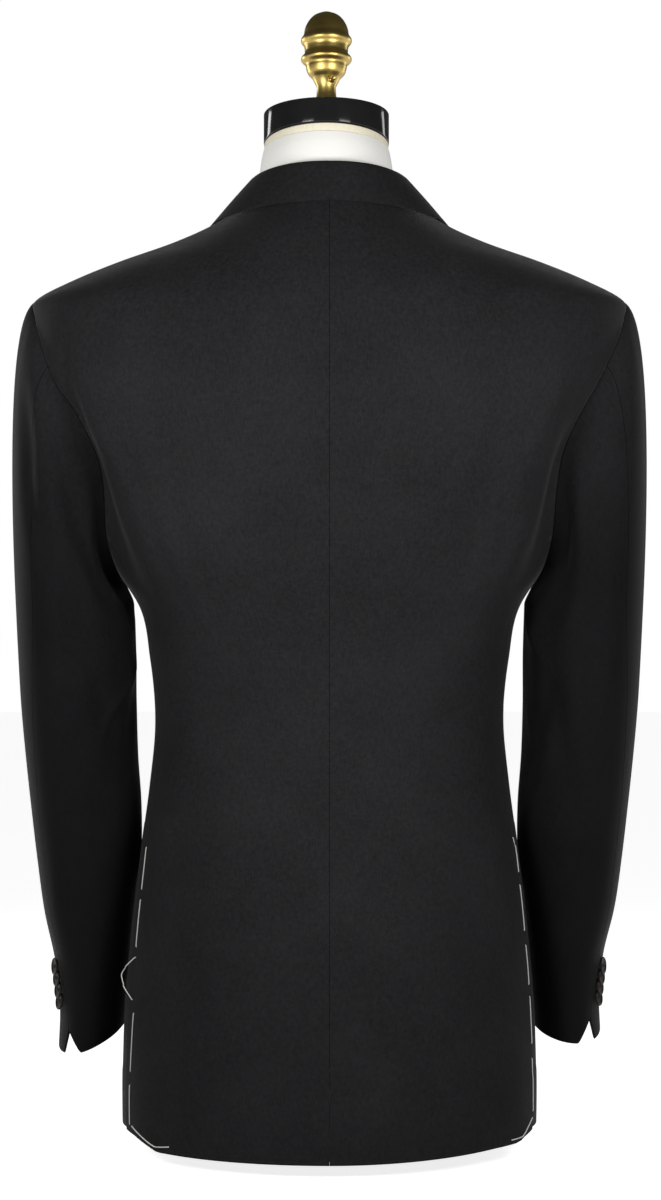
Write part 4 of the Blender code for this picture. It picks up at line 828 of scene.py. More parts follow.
def draw_in(points, normals, gaps):
    """Draws each border of a net inwards within its surface, and its neighbours by less. The four
    gaps are those of the first and last row and the first and last column."""
    moved = points.copy()
    for border, gap in enumerate(gaps):
        axis, order = border // 2, 1 if border % 2 == 0 else -1
        net = np.swapaxes(points, 0, axis)[::order]
        border_normal = np.swapaxes(normals, 0, axis)[::order][0]
        inward = unit(np.cross(border_normal, np.gradient(net[0], axis=0)))
        inward[np.sum(inward * (net[3] - net[0]), axis=-1) < 0] *= -1
        steps = np.linalg.norm(np.diff(net, axis=0), axis=-1)
        away = np.concatenate([0 * steps[:1], np.cumsum(steps, axis=0)])
        share = np.clip(1 - away / (4 * gap), 0, 1)
        moved += np.swapaxes((inward[None] * gap * share[..., None])[::order], 0, axis)
    return moved


TWILL_PITCH, TWILL_SLANT = 0.00075, 0.62
MOTTLE_SHARE, SLUB_SHARE, HAZE_SHARE, TWILL_SHARE, TONE_DROP = 0.85, 0.45, 0.45, 0.15, 0.45
PANEL_SHADES = ((0.0034, 0.0034, 0.0038, 1), (0.0242, 0.0242, 0.0258, 1))
# Painted shade: the sleeves' wool is painted darker than the panels'.
SLEEVE_PAINTED_SHADE = ((0.0013, 0.0013, 0.0016, 1), (0.0098, 0.0098, 0.0106, 1))


def worsted_wool(name, own_or_painted_shades, fade=None):
    """Charcoal-black twill: a fine diagonal line, slubs along the grain, and a mottled nap. Between
    the two heights in fade, the first shades, a painted shade on the sleeves, pass into the panels' own."""
    made, wire, where = finish(name, Sheen_Weight=0.10, Sheen_Roughness=0.30, Specular_IOR_Level=0.05)
    grain = wire.node("ShaderNodeUVMap", {"uv_map": "grain"})
    mottle = noise(wire, where, 330.0, 3.0, 0.75)
    haze = noise(wire, where, 14.0, 3.0, 0.55)
    slub = noise(wire, scaled(wire, grain, (1500.0, 130.0, 1.0)), 1.0, 2.0)
    slanted = part_of(wire, grain, 0) + part_of(wire, grain, 1) * TWILL_SLANT
    twill = (slanted * (2 * math.pi / TWILL_PITCH)).sine() * 0.5 + 0.5
    tone = mottle * MOTTLE_SHARE + slub * SLUB_SHARE + haze * HAZE_SHARE + twill * TWILL_SHARE - TONE_DROP
    colour = tone.blend(*own_or_painted_shades)
    # Painted shade on the sleeves: the darker shades hold below the first height in fade and pass into the
    # panels' own by the second.
    if fade:
        heights = {0: part_of(wire, where, 2), 1: fade[0], 2: fade[1], 3: 0.0, 4: 1.0}
        rise = wire.node("ShaderNodeMapRange", {"interpolation_type": "SMOOTHSTEP"}, heights)
        colour = rise.blend(colour, tone.blend(*PANEL_SHADES))
    feed(made, "Base Color", colour)
    feed(made, "Roughness", mottle * 0.16 + 0.66)
    feed(made, "Normal", bumped(wire, twill * 0.4 + slub * 0.4 + mottle * 0.5, 0.00022, 0.55))
    return made


worsted = worsted_wool("worsted_wool", PANEL_SHADES)


def cloth(node, outer, normals, grain_places, side, folded, wool=worsted):
    """A shell of cloth from its outer face and its walls' direction. folded says, for the first and
    last row and the first and last column, whether that border is a folded edge or a seam."""
    flip = np.array([side, 1, 1])
    full = draw_in(outer, normals, (SEAM_GAP / 2,) * 4)
    rounding = [FOLDED_EDGE if fold else SEWN_EDGE for fold in folded]
    full_inner = full - normals * WALL
    middle = (full + full_inner) / 2
    outside = draw_in(full, normals, rounding)
    inside = draw_in(full_inner, normals, rounding)
    rows, columns = outer.shape[:2]
    index = np.arange(rows * columns).reshape(rows, columns)
    quads = np.stack([index[:-1, :-1], index[:-1, 1:], index[1:, 1:], index[1:, :-1]], -1).reshape(-1, 4)
    rim = np.concatenate([index[0], index[1:, -1], index[-1, -2::-1], index[-2:0:-1, 0]])
    following = np.roll(rim, -1)
    count = rows * columns
    belt = 2 * count + np.arange(len(rim))
    belt_following = np.roll(belt, -1)
    faces = [quads, quads[:, ::-1] + count]
    faces.append(np.stack([following, rim, belt, belt_following], -1))
    faces.append(np.stack([belt_following, belt, count + rim, count + following], -1))
    faces = np.concatenate(faces)
    points = np.concatenate([outside.reshape(-1, 3), inside.reshape(-1, 3), middle.reshape(-1, 3)[rim]])
    r, c = rows // 2, columns // 2
    facing = np.cross(outside[r, c + 1] - outside[r, c], outside[r + 1, c] - outside[r, c])
    if (facing @ normals[r, c]) * side < 0:
        faces = faces[:, ::-1]
    made = mesh_piece(f"{node}_cloth", points * flip, faces, wool, node, smooth_below=75.0)
    places = grain_places.reshape(-1, 2)
    places = np.concatenate([places, places, places[rim]])
    corners = np.empty(len(made.data.loops), np.int32)
    made.data.loops.foreach_get("vertex_index", corners)
    made.data.uv_layers.new(name="grain").data.foreach_set("uv", places[corners].ravel())
    return made


def body_cloth(node, angles, heights, normals, lifts, side, folded):
    """A shell whose outer face stands a lift off the body's own."""
    outer = body(angles, heights, side) + normals * lifts
    return cloth(node, outer, normals, np.stack([angles * BODY_RADIUS, heights], -1), side, folded)


def body_panel(node, places, u, neck_share, side, front, lifts):
    """A panel's shell from its x and z places on the body, mitred along its armhole."""
    angles = angle_at(places[..., 0], places[..., 1], front)
    heights = places[..., 1]
    angles[-1, u >= neck_share - 1e-9] = np.pi / 2
    if not front:
        lap = ease((VENT_TOP + VENT_EASE - heights[:, -1:]) / VENT_EASE_RUN)
        over = np.clip((u[None] - VENT_LAP_FROM) / VENT_LAP_RUN, 0, 1)
        angles = angles + lap * over * VENT_LAP / at(BODY, "half_width", heights)
    normals = body_normal(angles, heights, side)
    turns = 360 - BACK_TURNS if front else BACK_TURNS
    for row, turn in enumerate(turns, len(SEAM_HEIGHTS)):
        normals[row, -1] = MITRES[side][round(turn % 360, 1)]
    normals[len(SEAM_HEIGHTS) - 1, -1] = MITRES[side][360 - BODY_JUNCTION if front else BODY_JUNCTION]
    return body_cloth(node, angles, heights, normals, lifts[..., None], side, (1, 0, front, 0))


def back_half(word, side):
    right = outer_border(front=False)
    v = (right[:, 1] - right[0, 1]) / (right[-1, 1] - right[0, 1])
    left = np.stack([0 * v, HEM_BACK + (NECK_BACK - HEM_BACK) * v], -1)
    u = column_places(BACK_NECK_SHARE)
    neck_angles = np.linspace(0, np.pi / 2, 41)
    neck_heights = NECK_BACK + (NECK_POINT - NECK_BACK) * np.sin(neck_angles) ** 2
    neck = np.stack([plain_body(neck_angles, neck_heights)[:, 0], neck_heights], -1)
    x = right[0, 0] * u
    corner = np.clip((x - right[0, 0]) / VENT_CORNER[side] + 1, 0, 1)
    bow = HEM_BOW[side] * (x / x[-1]) ** 2
    bottom = np.stack([x, HEM_BACK + bow + (HEM_SIDE - HEM_BOW[side] - HEM_BACK) * corner], -1)
    places = coons(bottom, top_line(neck, BACK_NECK_SHARE, u), left, right, u, v)
    step_down = ease((VENT_SEAM_FOOT - right[:, 1]) / (VENT_SEAM_FOOT - VENT_TOP))
    lifts = (WALL + LAY_GAP) * step_down[:, None] * ease((u[None] - VENT_STEP_FROM) / VENT_STEP_RUN)
    return body_panel(f"back_{word}", places, u, BACK_NECK_SHARE, side, False, lifts)


for word, side in SIDES:
    back_half(word, side)

# ---------------------------------------------------------------- side bodies
# The narrow panel under each arm, sewn to the front along its whole length and to the back down to
# the vent, where it passes under the back's edge.


def side_body(word, side):
    v = (SEAM_HEIGHTS - SEAM_HEIGHTS[0]) / (SEAM_HEIGHTS[-1] - SEAM_HEIGHTS[0])
    left = np.stack([seam_angle(SEAM_HEIGHTS, False), SEAM_HEIGHTS], -1)
    right = np.stack([seam_angle(SEAM_HEIGHTS, True), SEAM_HEIGHTS], -1)
    turns = np.arange(BODY_JUNCTION, 360 - BODY_JUNCTION + 0.1, TURN_STEP)
    top = np.stack(armhole(turns), -1)
    u = np.linspace(0, 1, len(turns))
    bottom = left[0] + (right[0] - left[0]) * u[:, None]
    places = coons(bottom, top, left, right, u, v)
    angles, heights = places[..., 0], places[..., 1]
    normals = body_normal(angles, heights, side)
    normals[-1] = [MITRES[side][round(t % 360, 1)] for t in turns]
    return body_cloth(f"side_body_{word}", angles, heights, normals, 0.0, side, (1, 0, 0, 0))


for word, side in SIDES:
    side_body(word, side)

# ---------------------------------------------------------------- fronts
# Each front is cut in one with the underside of its lapel, canvassed to the roll line, and curved
# away at the foot. The left one laps over the right one at the centre.

LAP_GAP = 0.0012
HEM_FRONT = 0.012
FRONT_LAP = 0.018
BREAK_HEIGHT = 0.380
QUARTER_START = 0.235
QUARTER_SWEEP = 0.078
QUARTER_CURVE = 2.6
HEM_SAG_FROM = 0.3
HEM_CORNER = (0.045, 0.016)
FRONT_NECK_SHARE = 0.30
GORGE_ROLL = np.array([0.0580, 0.7000])
LAP_REACH, LAP_FADE = 0.062, 0.040
LAP_TOP, LAP_TOP_FADE = 0.600, 0.120
LAP_FOOT, LAP_FOOT_FADE = 0.020, 0.100


def front_edge(height):
    """x of the front's edge: the quarter at the foot, the lapped edge, then the roll line."""
    low = np.clip((QUARTER_START - height) / (QUARTER_START - HEM_FRONT), 0, 1)
    straight = -FRONT_LAP + QUARTER_SWEEP * low**QUARTER_CURVE
    rise = (height - BREAK_HEIGHT) / (GORGE_ROLL[1] - BREAK_HEIGHT)
    roll = -FRONT_LAP + (GORGE_ROLL[0] + FRONT_LAP) * rise
    return np.where(height < BREAK_HEIGHT, straight, roll)


def lap_lift(x, height, side):
    """The left front lies on the right one where they cross at the centre."""
    near = ease((LAP_REACH - np.abs(x)) / LAP_FADE)
    fade = ease((LAP_TOP - height) / LAP_TOP_FADE) * ease((height - LAP_FOOT) / LAP_FOOT_FADE)
    return side * (WALL + LAP_GAP) / 2 * near * fade


def front_half(word, side):
    right = outer_border(front=True)
    v = (right[:, 1] - right[0, 1]) / (right[-1, 1] - right[0, 1])
    foot = HEM_FRONT + HEM_CORNER[1]
    heights = foot + (GORGE_ROLL[1] - foot) * v
    left = np.stack([front_edge(heights), heights], -1)
    u = column_places(FRONT_NECK_SHARE)
    neck = GORGE_ROLL + (shoulder_seam(0.0) - GORGE_ROLL) * np.linspace(0, 1, 21)[:, None]
    x = left[0, 0] + (right[0, 0] - left[0, 0]) * u
    turn_up = np.clip((left[0, 0] + HEM_CORNER[0] - x) / HEM_CORNER[0], 0, 1) ** 2
    sag = HEM_FRONT + (HEM_SIDE - HEM_FRONT) * ease((u - HEM_SAG_FROM) / (1 - HEM_SAG_FROM))
    bottom = np.stack([x, sag + (left[0, 1] - HEM_FRONT) * turn_up], -1)
    places = coons(bottom, top_line(neck, FRONT_NECK_SHARE, u), left, right, u, v)
    lifts = lap_lift(places[..., 0], places[..., 1], side)
    return body_panel(f"front_{word}", places, u, FRONT_NECK_SHARE, side, True, lifts)


for word, side in SIDES:
    front_half(word, side)

# ---------------------------------------------------------------- lapels
# The front's facing, turned back over the roll line: a soft roll, a belly along the outer edge and a
# notch where it meets the collar. The right one comes out from under the left front.

NOTCH = np.array([0.0990, 0.6740])
LAPEL_TIP = np.array([0.1340, 0.6520])
LAPEL_FOOT = (0.006, 0.003)
LAPEL_BELLY, LAPEL_BELLY_CURVE = 0.010, 1.2
LAPEL_BLOOM = 0.003
RIGHT_LAPEL_START = 0.21
HIDDEN_CLEAR = 0.016
ROLL_SLOPE = (GORGE_ROLL[1] - BREAK_HEIGHT) / (GORGE_ROLL[0] + FRONT_LAP)
CROSSING = BREAK_HEIGHT + FRONT_LAP * ROLL_SLOPE


def lapel_edge(v):
    """x and z of the lapel's outer edge, from the foot of its roll to its tip."""
    foot = np.array([front_edge(BREAK_HEIGHT) + LAPEL_FOOT[0], BREAK_HEIGHT + LAPEL_FOOT[1]])
    along = LAPEL_TIP - foot
    outward = np.array([along[1], -along[0]]) / np.linalg.norm(along)
    bow = LAPEL_BELLY * np.sin(np.pi * np.clip(v, 0, 1)) ** LAPEL_BELLY_CURVE
    return foot + along * v[:, None] + outward * bow[:, None]


def net_normals(points):
    return unit(np.cross(np.gradient(points, axis=1), np.gradient(points, axis=0)))


def lapel(word, side):
    foot = BREAK_HEIGHT if side > 0 else CROSSING + HIDDEN_CLEAR
    top = GORGE_ROLL[1]
    middle = np.linspace(foot + 0.006, top - 0.003, 84)
    heights = np.concatenate([[foot, foot + 0.001, foot + 0.003], middle, [top - 0.001, top]])
    roll = np.stack([front_edge(heights), heights], -1)
    v = (heights - heights[0]) / (heights[-1] - heights[0])
    edge = lapel_edge(v if side > 0 else RIGHT_LAPEL_START + (1 - RIGHT_LAPEL_START) * v)
    share = np.linalg.norm(NOTCH - GORGE_ROLL)
    share = share / (share + np.linalg.norm(LAPEL_TIP - NOTCH))
    u = np.concatenate([np.linspace(0, share, 17), np.linspace(share, 1, 10)[1:-1], [0.990, 1.0]])
    on_gorge = np.clip(u / share, 0, 1)[:, None]
    on_tip = np.clip((u - share) / (1 - share), 0, 1)[:, None]
    top = GORGE_ROLL + (NOTCH - GORGE_ROLL) * on_gorge + (LAPEL_TIP - NOTCH) * on_tip
    bottom = roll[0] + (edge[0] - roll[0]) * u[:, None]
    places = coons(bottom, top, roll, edge, u, v)
    angles = angle_at(places[..., 0], places[..., 1], True)
    normals = body_normal(angles, places[..., 1], side)
    panel = body(angles, places[..., 1], side)
    panel = panel + normals * lap_lift(places[..., 0], places[..., 1], side)[..., None]
    # Round the front's edge: an arc about the middle of its wall, then flat on the panel.
    inward = unit(panel[:, 1] - panel[:, 0])
    rolled = []
    for turn in np.radians((90, 78, 66, 54, 42, 30, 19, 8)):
        around = -inward * math.sin(turn) + normals[:, 0] * math.cos(turn)
        rolled.append(panel[:, 0] - normals[:, 0] * WALL / 2 + around * (WALL + LAY_GAP))
    bloom = LAPEL_BLOOM * np.sin(np.pi * u) ** 2 * (1 - v[:, None])
    flat = panel + normals * (LAY_GAP + WALL / 2 + bloom)[..., None]
    net = np.concatenate([np.stack(rolled, 1), flat[:, 1:]], axis=1)
    facing = net_normals(net)
    facing *= np.sign(np.sum(facing[:, -3] * normals[:, -3], axis=-1))[:, None, None]
    across = distance_along(net, axis=1)
    grain_places = np.stack(np.broadcast_arrays(across[None, :], heights[:, None]), -1)
    return cloth(f"lapel_{word}", net + facing * WALL / 2, facing, grain_places, side, (1, 0, 0, 1))


lapel("left", 1)
lapel("right", -1)

# ---------------------------------------------------------------- collar
# One strip of the same cloth, cut on the bias and pressed over its stand. It is sewn to the neck
# seam from one gorge to the other, and its fall covers that seam.

COLLAR = table(
    "station rise lean edge_angle edge_height",
    (0.0, 0.0242, 0.0075, 0, 0.7460),
    (1.0, 0.0250, 0.0080, 33, 0.7430),
    (2.0, 0.0265, 0.0088, 63, 0.7375),
    (3.0, 0.0275, 0.0092, 90, 0.7365),
    (4.0, 0.0225, 0.0080, 119, 0.7230),
    (5.0, 0.0040, 0.0017, 141, 0.7030),
)
FOLD_RADIUS = 0.0016
FALL_BOW = 0.0012
FALL_KINK = 0.6
GORGE_CLEAR = 0.0018
BIAS = 0.7071
NECK_END = shoulder_seam(0.0)


def neck_place(station):
    """Angle and height of the neck seam on the body, from centre back to the gorge."""
    angle = np.pi / 2 * np.minimum(station, 3) / 3
    height = NECK_BACK + (NECK_POINT - NECK_BACK) * np.sin(angle) ** 2
    place = NECK_END + (GORGE_ROLL - NECK_END) * np.maximum(station - 3, 0)[:, None] / 2
    on_front = angle_at(place[:, 0], place[:, 1], True)
    return np.where(station > 3, on_front, angle), np.where(station > 3, place[:, 1], height)


def neck_seam(station, side):
    """The neck seam's point and normal, and the way that it runs."""
    step = 0.02
    ahead = body(*neck_place(np.minimum(station + step, 5.0)), side)
    behind = body(*neck_place(np.maximum(station - step, 0.0)), side)
    angle, height = neck_place(station)
    return body(angle, height, side), body_normal(angle, height, side), unit(ahead - behind)


def collar_edge(station):
    """Angle and height of the fall's outer edge on the body."""
    return np.radians(at(COLLAR, "edge_angle", station)), at(COLLAR, "edge_height", station)


def fall_on_front(station, t, side):
    """Points of the fall where it lies flat on the front, by way of the notch's inner corner."""
    start, end = (plain_body(*place)[:, [0, 2]] for place in (neck_place(station), collar_edge(station)))
    kink = NOTCH + (1 - ease(station - 4))[:, None] * ((start + end) / 2 - NOTCH)
    if t <= FALL_KINK:
        place = start + (kink - start) * t / FALL_KINK
    else:
        place = kink + (end - kink) * (t - FALL_KINK) / (1 - FALL_KINK)
    angle = angle_at(place[:, 0], place[:, 1], True)
    normal = body_normal(angle, place[:, 1], side)
    return body(angle, place[:, 1], side) + normal * (LAY_GAP + WALL / 2)


def collar_sections(station, side):
    """The collar's middle line at each station: seam, stand, fold, fall and outer edge."""
    seam, normal, along = neck_seam(station, side)
    near_gorge = ease(station - 4)[:, None]
    notch = body(angle_at(NOTCH[:1], NOTCH[1:], True), NOTCH[1:], side)
    up = unit(np.cross(along, normal)) * (1 - near_gorge) - unit(notch - seam) * near_gorge
    up = unit(up)
    foot = seam - normal * WALL / 2 - along * GORGE_CLEAR * near_gorge
    rise, lean = at(COLLAR, "rise", station)[:, None], at(COLLAR, "lean", station)[:, None]
    fold = foot + up * rise + normal * lean
    edge_normal = body_normal(*collar_edge(station), side)
    edge = body(*collar_edge(station), side) + edge_normal * (LAY_GAP + WALL / 2)
    down_stand, down_fall = unit(foot - fold), unit(edge - fold)
    apex, across = -unit(down_stand + down_fall), unit(down_fall - down_stand)
    centre = fold - apex * FOLD_RADIUS
    arc = [centre + FOLD_RADIUS * (math.cos(t) * across + math.sin(t) * apex)
           for t in np.radians((165, 140, 115, 90, 65, 40, 15))]
    stand = [foot + (arc[0] - foot) * t for t in (0.0, 0.04, 0.10, 0.3, 0.5, 0.7, 0.88)]
    middle = (arc[-1] + edge) / 2 + unit(normal + edge_normal) * FALL_BOW * (1 - near_gorge)
    fall = []
    for t in (0.08, 0.2, 0.3, 0.4, 0.5, 0.6, 0.7, 0.8, 0.9, 0.96, 0.985, 1.0):
        free = (1 - t) ** 2 * arc[-1] + 2 * t * (1 - t) * middle + t * t * edge
        fall.append(free * (1 - near_gorge) + fall_on_front(station, t, side) * near_gorge)
    return np.stack(stand + arc + fall, 1), normal


stations = np.concatenate([np.linspace(0, 3, 37), np.linspace(3, 4.94, 25)[1:], [4.97, 4.99, 5.0]])
rows, feet = [], []
for side, order in ((-1, stations[:0:-1]), (1, stations)):
    sections, seam_normals = collar_sections(order, side)
    rows.extend(sections * (side, 1, 1))
    feet.extend(seam_normals * (side, 1, 1))
net = np.array(rows)
facing = net_normals(net)
facing *= np.sign(facing[len(net) // 2, -3, 1])
facing[:, 0] = -np.array(feet)
along, across = distance_along(net[:, -1])[:, None], distance_along(net, axis=1)[None]
bias = np.stack(np.broadcast_arrays(along + across, across - along), -1) * BIAS
collar = cloth("collar", net + facing * WALL / 2, facing, bias, 1, (1, 1, 0, 1))

# ---------------------------------------------------------------- sleeves
# Each sleeve is a top and an under sleeve joined by a hind and a fore seam, eased into the
# armhole, bent at the elbow, and left open at the foot of the cuff's vent.

CUFF_NICK = 0.019
CUFF_NICK_ANGLE = math.radians(17.0)
SLEEVE_RADIUS = 0.055
CREASES_SETTLE = 8  # the creases are whole an eighth of the way down from the armhole
SLEEVE_CREASES = (
    (1, 8, 3.0, (50, 0.630), (62, 0.597), (70, 0.565), (75, 0.530), (86, 0.488), (103, 0.460), (118, 0.432)),
    (1, 9, -3.0, (44, 0.610), (52, 0.560), (55, 0.520), (64, 0.490), (74, 0.455)),
    (1, 9, -4.0, (82, 0.550), (92, 0.515), (104, 0.488), (118, 0.462), (133, 0.434), (142, 0.410)),
    (1, 18, -8.0, (120, 0.540), (135, 0.500), (150, 0.462), (168, 0.415)),
    (1, 4, 1.7, (178, 0.402), (152, 0.369), (126, 0.342), (118, 0.318)),
    (1, 9, -2.6, (170, 0.378), (152, 0.332), (139, 0.280)),
    (1, 13, 2.0, (66, 0.366), (100, 0.376), (136, 0.390)),
    (1, 12, -1.3, (118, 0.356), (98, 0.330), (76, 0.300)),
    (1, 10, -1.0, (152, 0.244), (128, 0.220), (102, 0.204)),
    (1, 12, 0.7, (62, 0.262), (52, 0.172)),
    (1, 9, -1.6, (226, 0.402), (250, 0.362), (276, 0.334)),
    (1, 8, 1.2, (238, 0.350), (262, 0.318), (288, 0.300)),
    (1, 9, -1.1, (224, 0.300), (246, 0.270), (272, 0.250)),
    (1, 14, 0.8, (320, 0.560), (338, 0.400)),
    (-1, 7, 2.6, (88, 0.570), (97, 0.515), (100, 0.470), (101, 0.440), (115, 0.414)),
    (-1, 16, -8.0, (108, 0.560), (120, 0.512), (125, 0.470), (128, 0.440), (142, 0.408)),
    (-1, 4, 1.6, (180, 0.436), (152, 0.408), (128, 0.383)),
    (-1, 8, 1.4, (103, 0.384), (106, 0.350), (105, 0.316)),
    (-1, 8, -2.5, (126, 0.380), (137, 0.336), (146, 0.296)),
    (-1, 4, 1.3, (164, 0.354), (150, 0.330), (134, 0.308)),
    (-1, 11, -1.0, (86, 0.294), (104, 0.258), (124, 0.230)),
    (-1, 12, 0.8, (66, 0.430), (72, 0.380), (79, 0.325)),
    (-1, 9, -1.5, (228, 0.396), (252, 0.366), (278, 0.344)),
    (-1, 8, 1.3, (236, 0.356), (264, 0.326), (292, 0.312)),
    (-1, 9, -1.2, (226, 0.286), (250, 0.270), (274, 0.262)),
    (-1, 14, 0.8, (324, 0.550), (336, 0.410)),
)
# Painted shade: the sleeves' wool is painted a shade deeper than the panels' for the shade the sleeves
# hang in. It is deepest low down and passes into the panels' own tones towards the cap.
SLEEVE_SHADE_FADE = (0.44, 0.68)
sleeve_wool_painted_shade = worsted_wool("worsted_wool_sleeve_painted_shade", SLEEVE_PAINTED_SHADE, SLEEVE_SHADE_FADE)
cap_steps = np.concatenate([[0.0, 0.012, 0.028], np.linspace(0.05, 1.0, 36)])
ring_heights = np.concatenate([np.linspace(SLEEVE_TOP - 0.004, CUFF + CUFF_NICK + 0.002, 84),
                               np.linspace(CUFF + CUFF_NICK, CUFF + 0.004, 6),
                               [CUFF + 0.0022, CUFF + 0.0009, CUFF]])


def sleeve(word, side):
    """Both pieces of one sleeve, cut apart at the hind and fore seams."""
    rows = list(sleeve_cap(cap_steps, side))
    turns = [np.radians(SLEEVE_TURNS)] * len(rows)
    for height in ring_heights:
        turn = ring_turns(height)
        rows.append(sleeve_ring(turn, height + 0 * turn, side))
        turns.append(turn)
    net, turn_of = np.array(rows), np.array(turns)
    settled = ease(np.linspace(0, 1, len(rows)) * CREASES_SETTLE)[:, None]
    blended = turn_of[0] + (turn_of[len(cap_steps)] - turn_of[0]) * cap_steps[:, None]
    turn_of[: len(cap_steps)] = blended
    creases = 0.0 * turn_of
    for whole_turn in (0.0, 2 * np.pi):
        creases += crease_lift(SLEEVE_CREASES, side, turn_of - whole_turn, net[..., 2], SLEEVE_RADIUS)
    creases *= settled
    net = net + tube_normals(net) * creases[..., None]
    normals = tube_normals(net)
    normals[0] = [MITRES[side][round(t % 360, 1)] for t in SLEEVE_TURNS]
    along = np.broadcast_to(-distance_along(net)[:, None], turn_of.shape)
    grain_places = np.stack([turn_of * SLEEVE_RADIUS, along], -1)
    split = int(round((FORE_TURN - HIND_TURN) / TURN_STEP))
    pieces = []
    for part, columns in (("under", slice(0, split + 1)), ("top", slice(split, None))):
        outer = net[:, columns].copy()
        # The foot of the cuff's vent stands open: below the nick the edge turns away from the seam.
        low = np.flatnonzero(ring_heights < CUFF + CUFF_NICK - 1e-9) + len(cap_steps)
        for r in low:
            open_share = (CUFF + CUFF_NICK - ring_heights[r - len(cap_steps)]) / CUFF_NICK
            row_turns = turn_of[r, columns].copy()
            near = row_turns - row_turns[0] if part == "under" else row_turns[-1] - row_turns
            give = CUFF_NICK_ANGLE * open_share * np.clip(1 - near / (4 * CUFF_NICK_ANGLE), 0, 1)
            row_turns = row_turns + give * (1 if part == "under" else -1)
            outer[r] = sleeve_ring(row_turns, ring_heights[r - len(cap_steps)] + 0 * row_turns, side)
        pieces.append(cloth(f"{part}_sleeve_{word}", outer, normals[:, columns], grain_places[:, columns],
                            side, (0, 1, 0, 0), sleeve_wool_painted_shade))
    return pieces


for word, side in SIDES:
    under, top = sleeve(word, side)

# ---------------------------------------------------------------- pocket flaps and breast welt
# Two flaps with rounded corners over the hip pockets, and a slanted welt for the breast pocket.
# All three are made double and lie flat on the fronts.

FLAP_ANGLES = np.radians((98.0, 160.0))
FLAP_TOP = 0.262
FLAP_DROP = 0.004
FLAP_CORNER_DEPTH = 0.016
FLAP_SQUARE = 8
FLAP_DEPTH = 0.052
WELT_X = (0.108, 0.178)
WELT_LOW = (0.548, 0.559)
WELT_DEPTH = 0.024
close_ends = np.array([0.0, 0.010, 0.025, 0.045])
across_share = np.concatenate([close_ends, np.linspace(0.07, 0.93, 34), 1 - close_ends[::-1]])
down_share = np.concatenate([[0.0, 0.03, 0.08], np.linspace(0.16, 0.84, 9), [0.92, 0.97, 1.0]])


def laid_on_body(node, angles, heights, side):
    """A doubled piece of cloth that lies on the body's outer face."""
    normals = body_normal(angles, heights, side)
    return body_cloth(node, angles, heights, normals, LAY_GAP + WALL, side, (1, 1, 1, 1))


for word, side in SIDES:
    rounding = np.sqrt(np.clip(1 - np.abs(2 * across_share - 1) ** FLAP_SQUARE, 0, 1))
    depth = FLAP_CORNER_DEPTH + (FLAP_DEPTH - FLAP_CORNER_DEPTH) * rounding
    heights = FLAP_TOP - FLAP_DROP * (1 - across_share) - depth * down_share[:, None]
    angles = FLAP_ANGLES[0] + (FLAP_ANGLES[1] - FLAP_ANGLES[0]) * across_share
    flap = laid_on_body(f"pocket_flap_{word}", np.broadcast_to(angles, heights.shape), heights, side)
x = WELT_X[0] + (WELT_X[1] - WELT_X[0]) * across_share
low = WELT_LOW[0] + (WELT_LOW[1] - WELT_LOW[0]) * across_share
heights = low + WELT_DEPTH * down_share[:, None]
angles = angle_at(np.broadcast_to(x, heights.shape), heights, True)
welt = laid_on_body("breast_welt", angles, heights, 1)

# ---------------------------------------------------------------- buttons and buttonholes
# Two horn buttons close the front and four small ones overlap up each cuff's vent. Each is turned
# with a dished face, and sewn on with dark silk twist. The front's two holes are worked in it too.

BUTTON_THICKNESS = 0.0020
BUTTON_SHANK = 0.0004
BUTTON_OVERLAP_GAP = 0.0003
BUTTON_PROFILE = ((0.78, 0.00), (0.91, 0.10), (0.98, 0.34), (1.00, 0.58), (0.985, 0.80), (0.945, 0.95),
                  (0.89, 1.00), (0.82, 0.93), (0.75, 0.76), (0.66, 0.65), (0.45, 0.61))
FRONT_BUTTON_HEIGHTS = (("top", 0.362), ("low", 0.258))
FRONT_BUTTON_RADIUS = 0.0100
CUFF_BUTTONS = 4
CUFF_BUTTON_PITCH = 0.0088
CUFF_BUTTON_RADIUS = 0.0070
CUFF_BUTTON_LOWEST = {1: 0.1290, -1: 0.1225}
CUFF_BUTTON_TURN = 7.5
BUTTONHOLE = (-0.0020, 0.0200)
BUTTONHOLE_HALF_WIDTH = 0.0010
BUTTONHOLE_ROUNDING = 0.4
FRONT_STITCH_RADIUS, FRONT_SHANK_RADIUS, BUTTONHOLE_THREAD_RADIUS = 0.00045, 0.0016, 0.00055
CUFF_STITCH_RADIUS, CUFF_SHANK_RADIUS = 0.00035, 0.0024
# A stitch's way over a button's middle, from one hole to the other, in shares of the button's radius
# and thickness. Two stitches lie side by side.
STITCH_APART = 0.17
STITCH_WAY = np.array([(0.17, 0.10), (0.17, 0.56), (0.13, 0.80), (0.0, 0.88), (-0.13, 0.80),
                       (-0.17, 0.56), (-0.17, 0.10)])

horn, wire, where = finish("dark_horn", Specular_IOR_Level=0.10)
marbling = noise(wire, scaled(wire, where, (160.0, 160.0, 700.0)), 1.0, 3.0, 0.6)
feed(horn, "Base Color", marbling.blend((0.003, 0.003, 0.003, 1), (0.018, 0.013, 0.010, 1)))
feed(horn, "Roughness", marbling * 0.20 + 0.34)

twist, wire, where = finish("silk_twist", Specular_IOR_Level=0.3)
strands = noise(wire, where, 2500.0, 2.0)
feed(twist, "Base Color", strands.blend((0.010, 0.010, 0.011, 1), (0.034, 0.034, 0.036, 1)))
feed(twist, "Roughness", strands * 0.25 + 0.45)


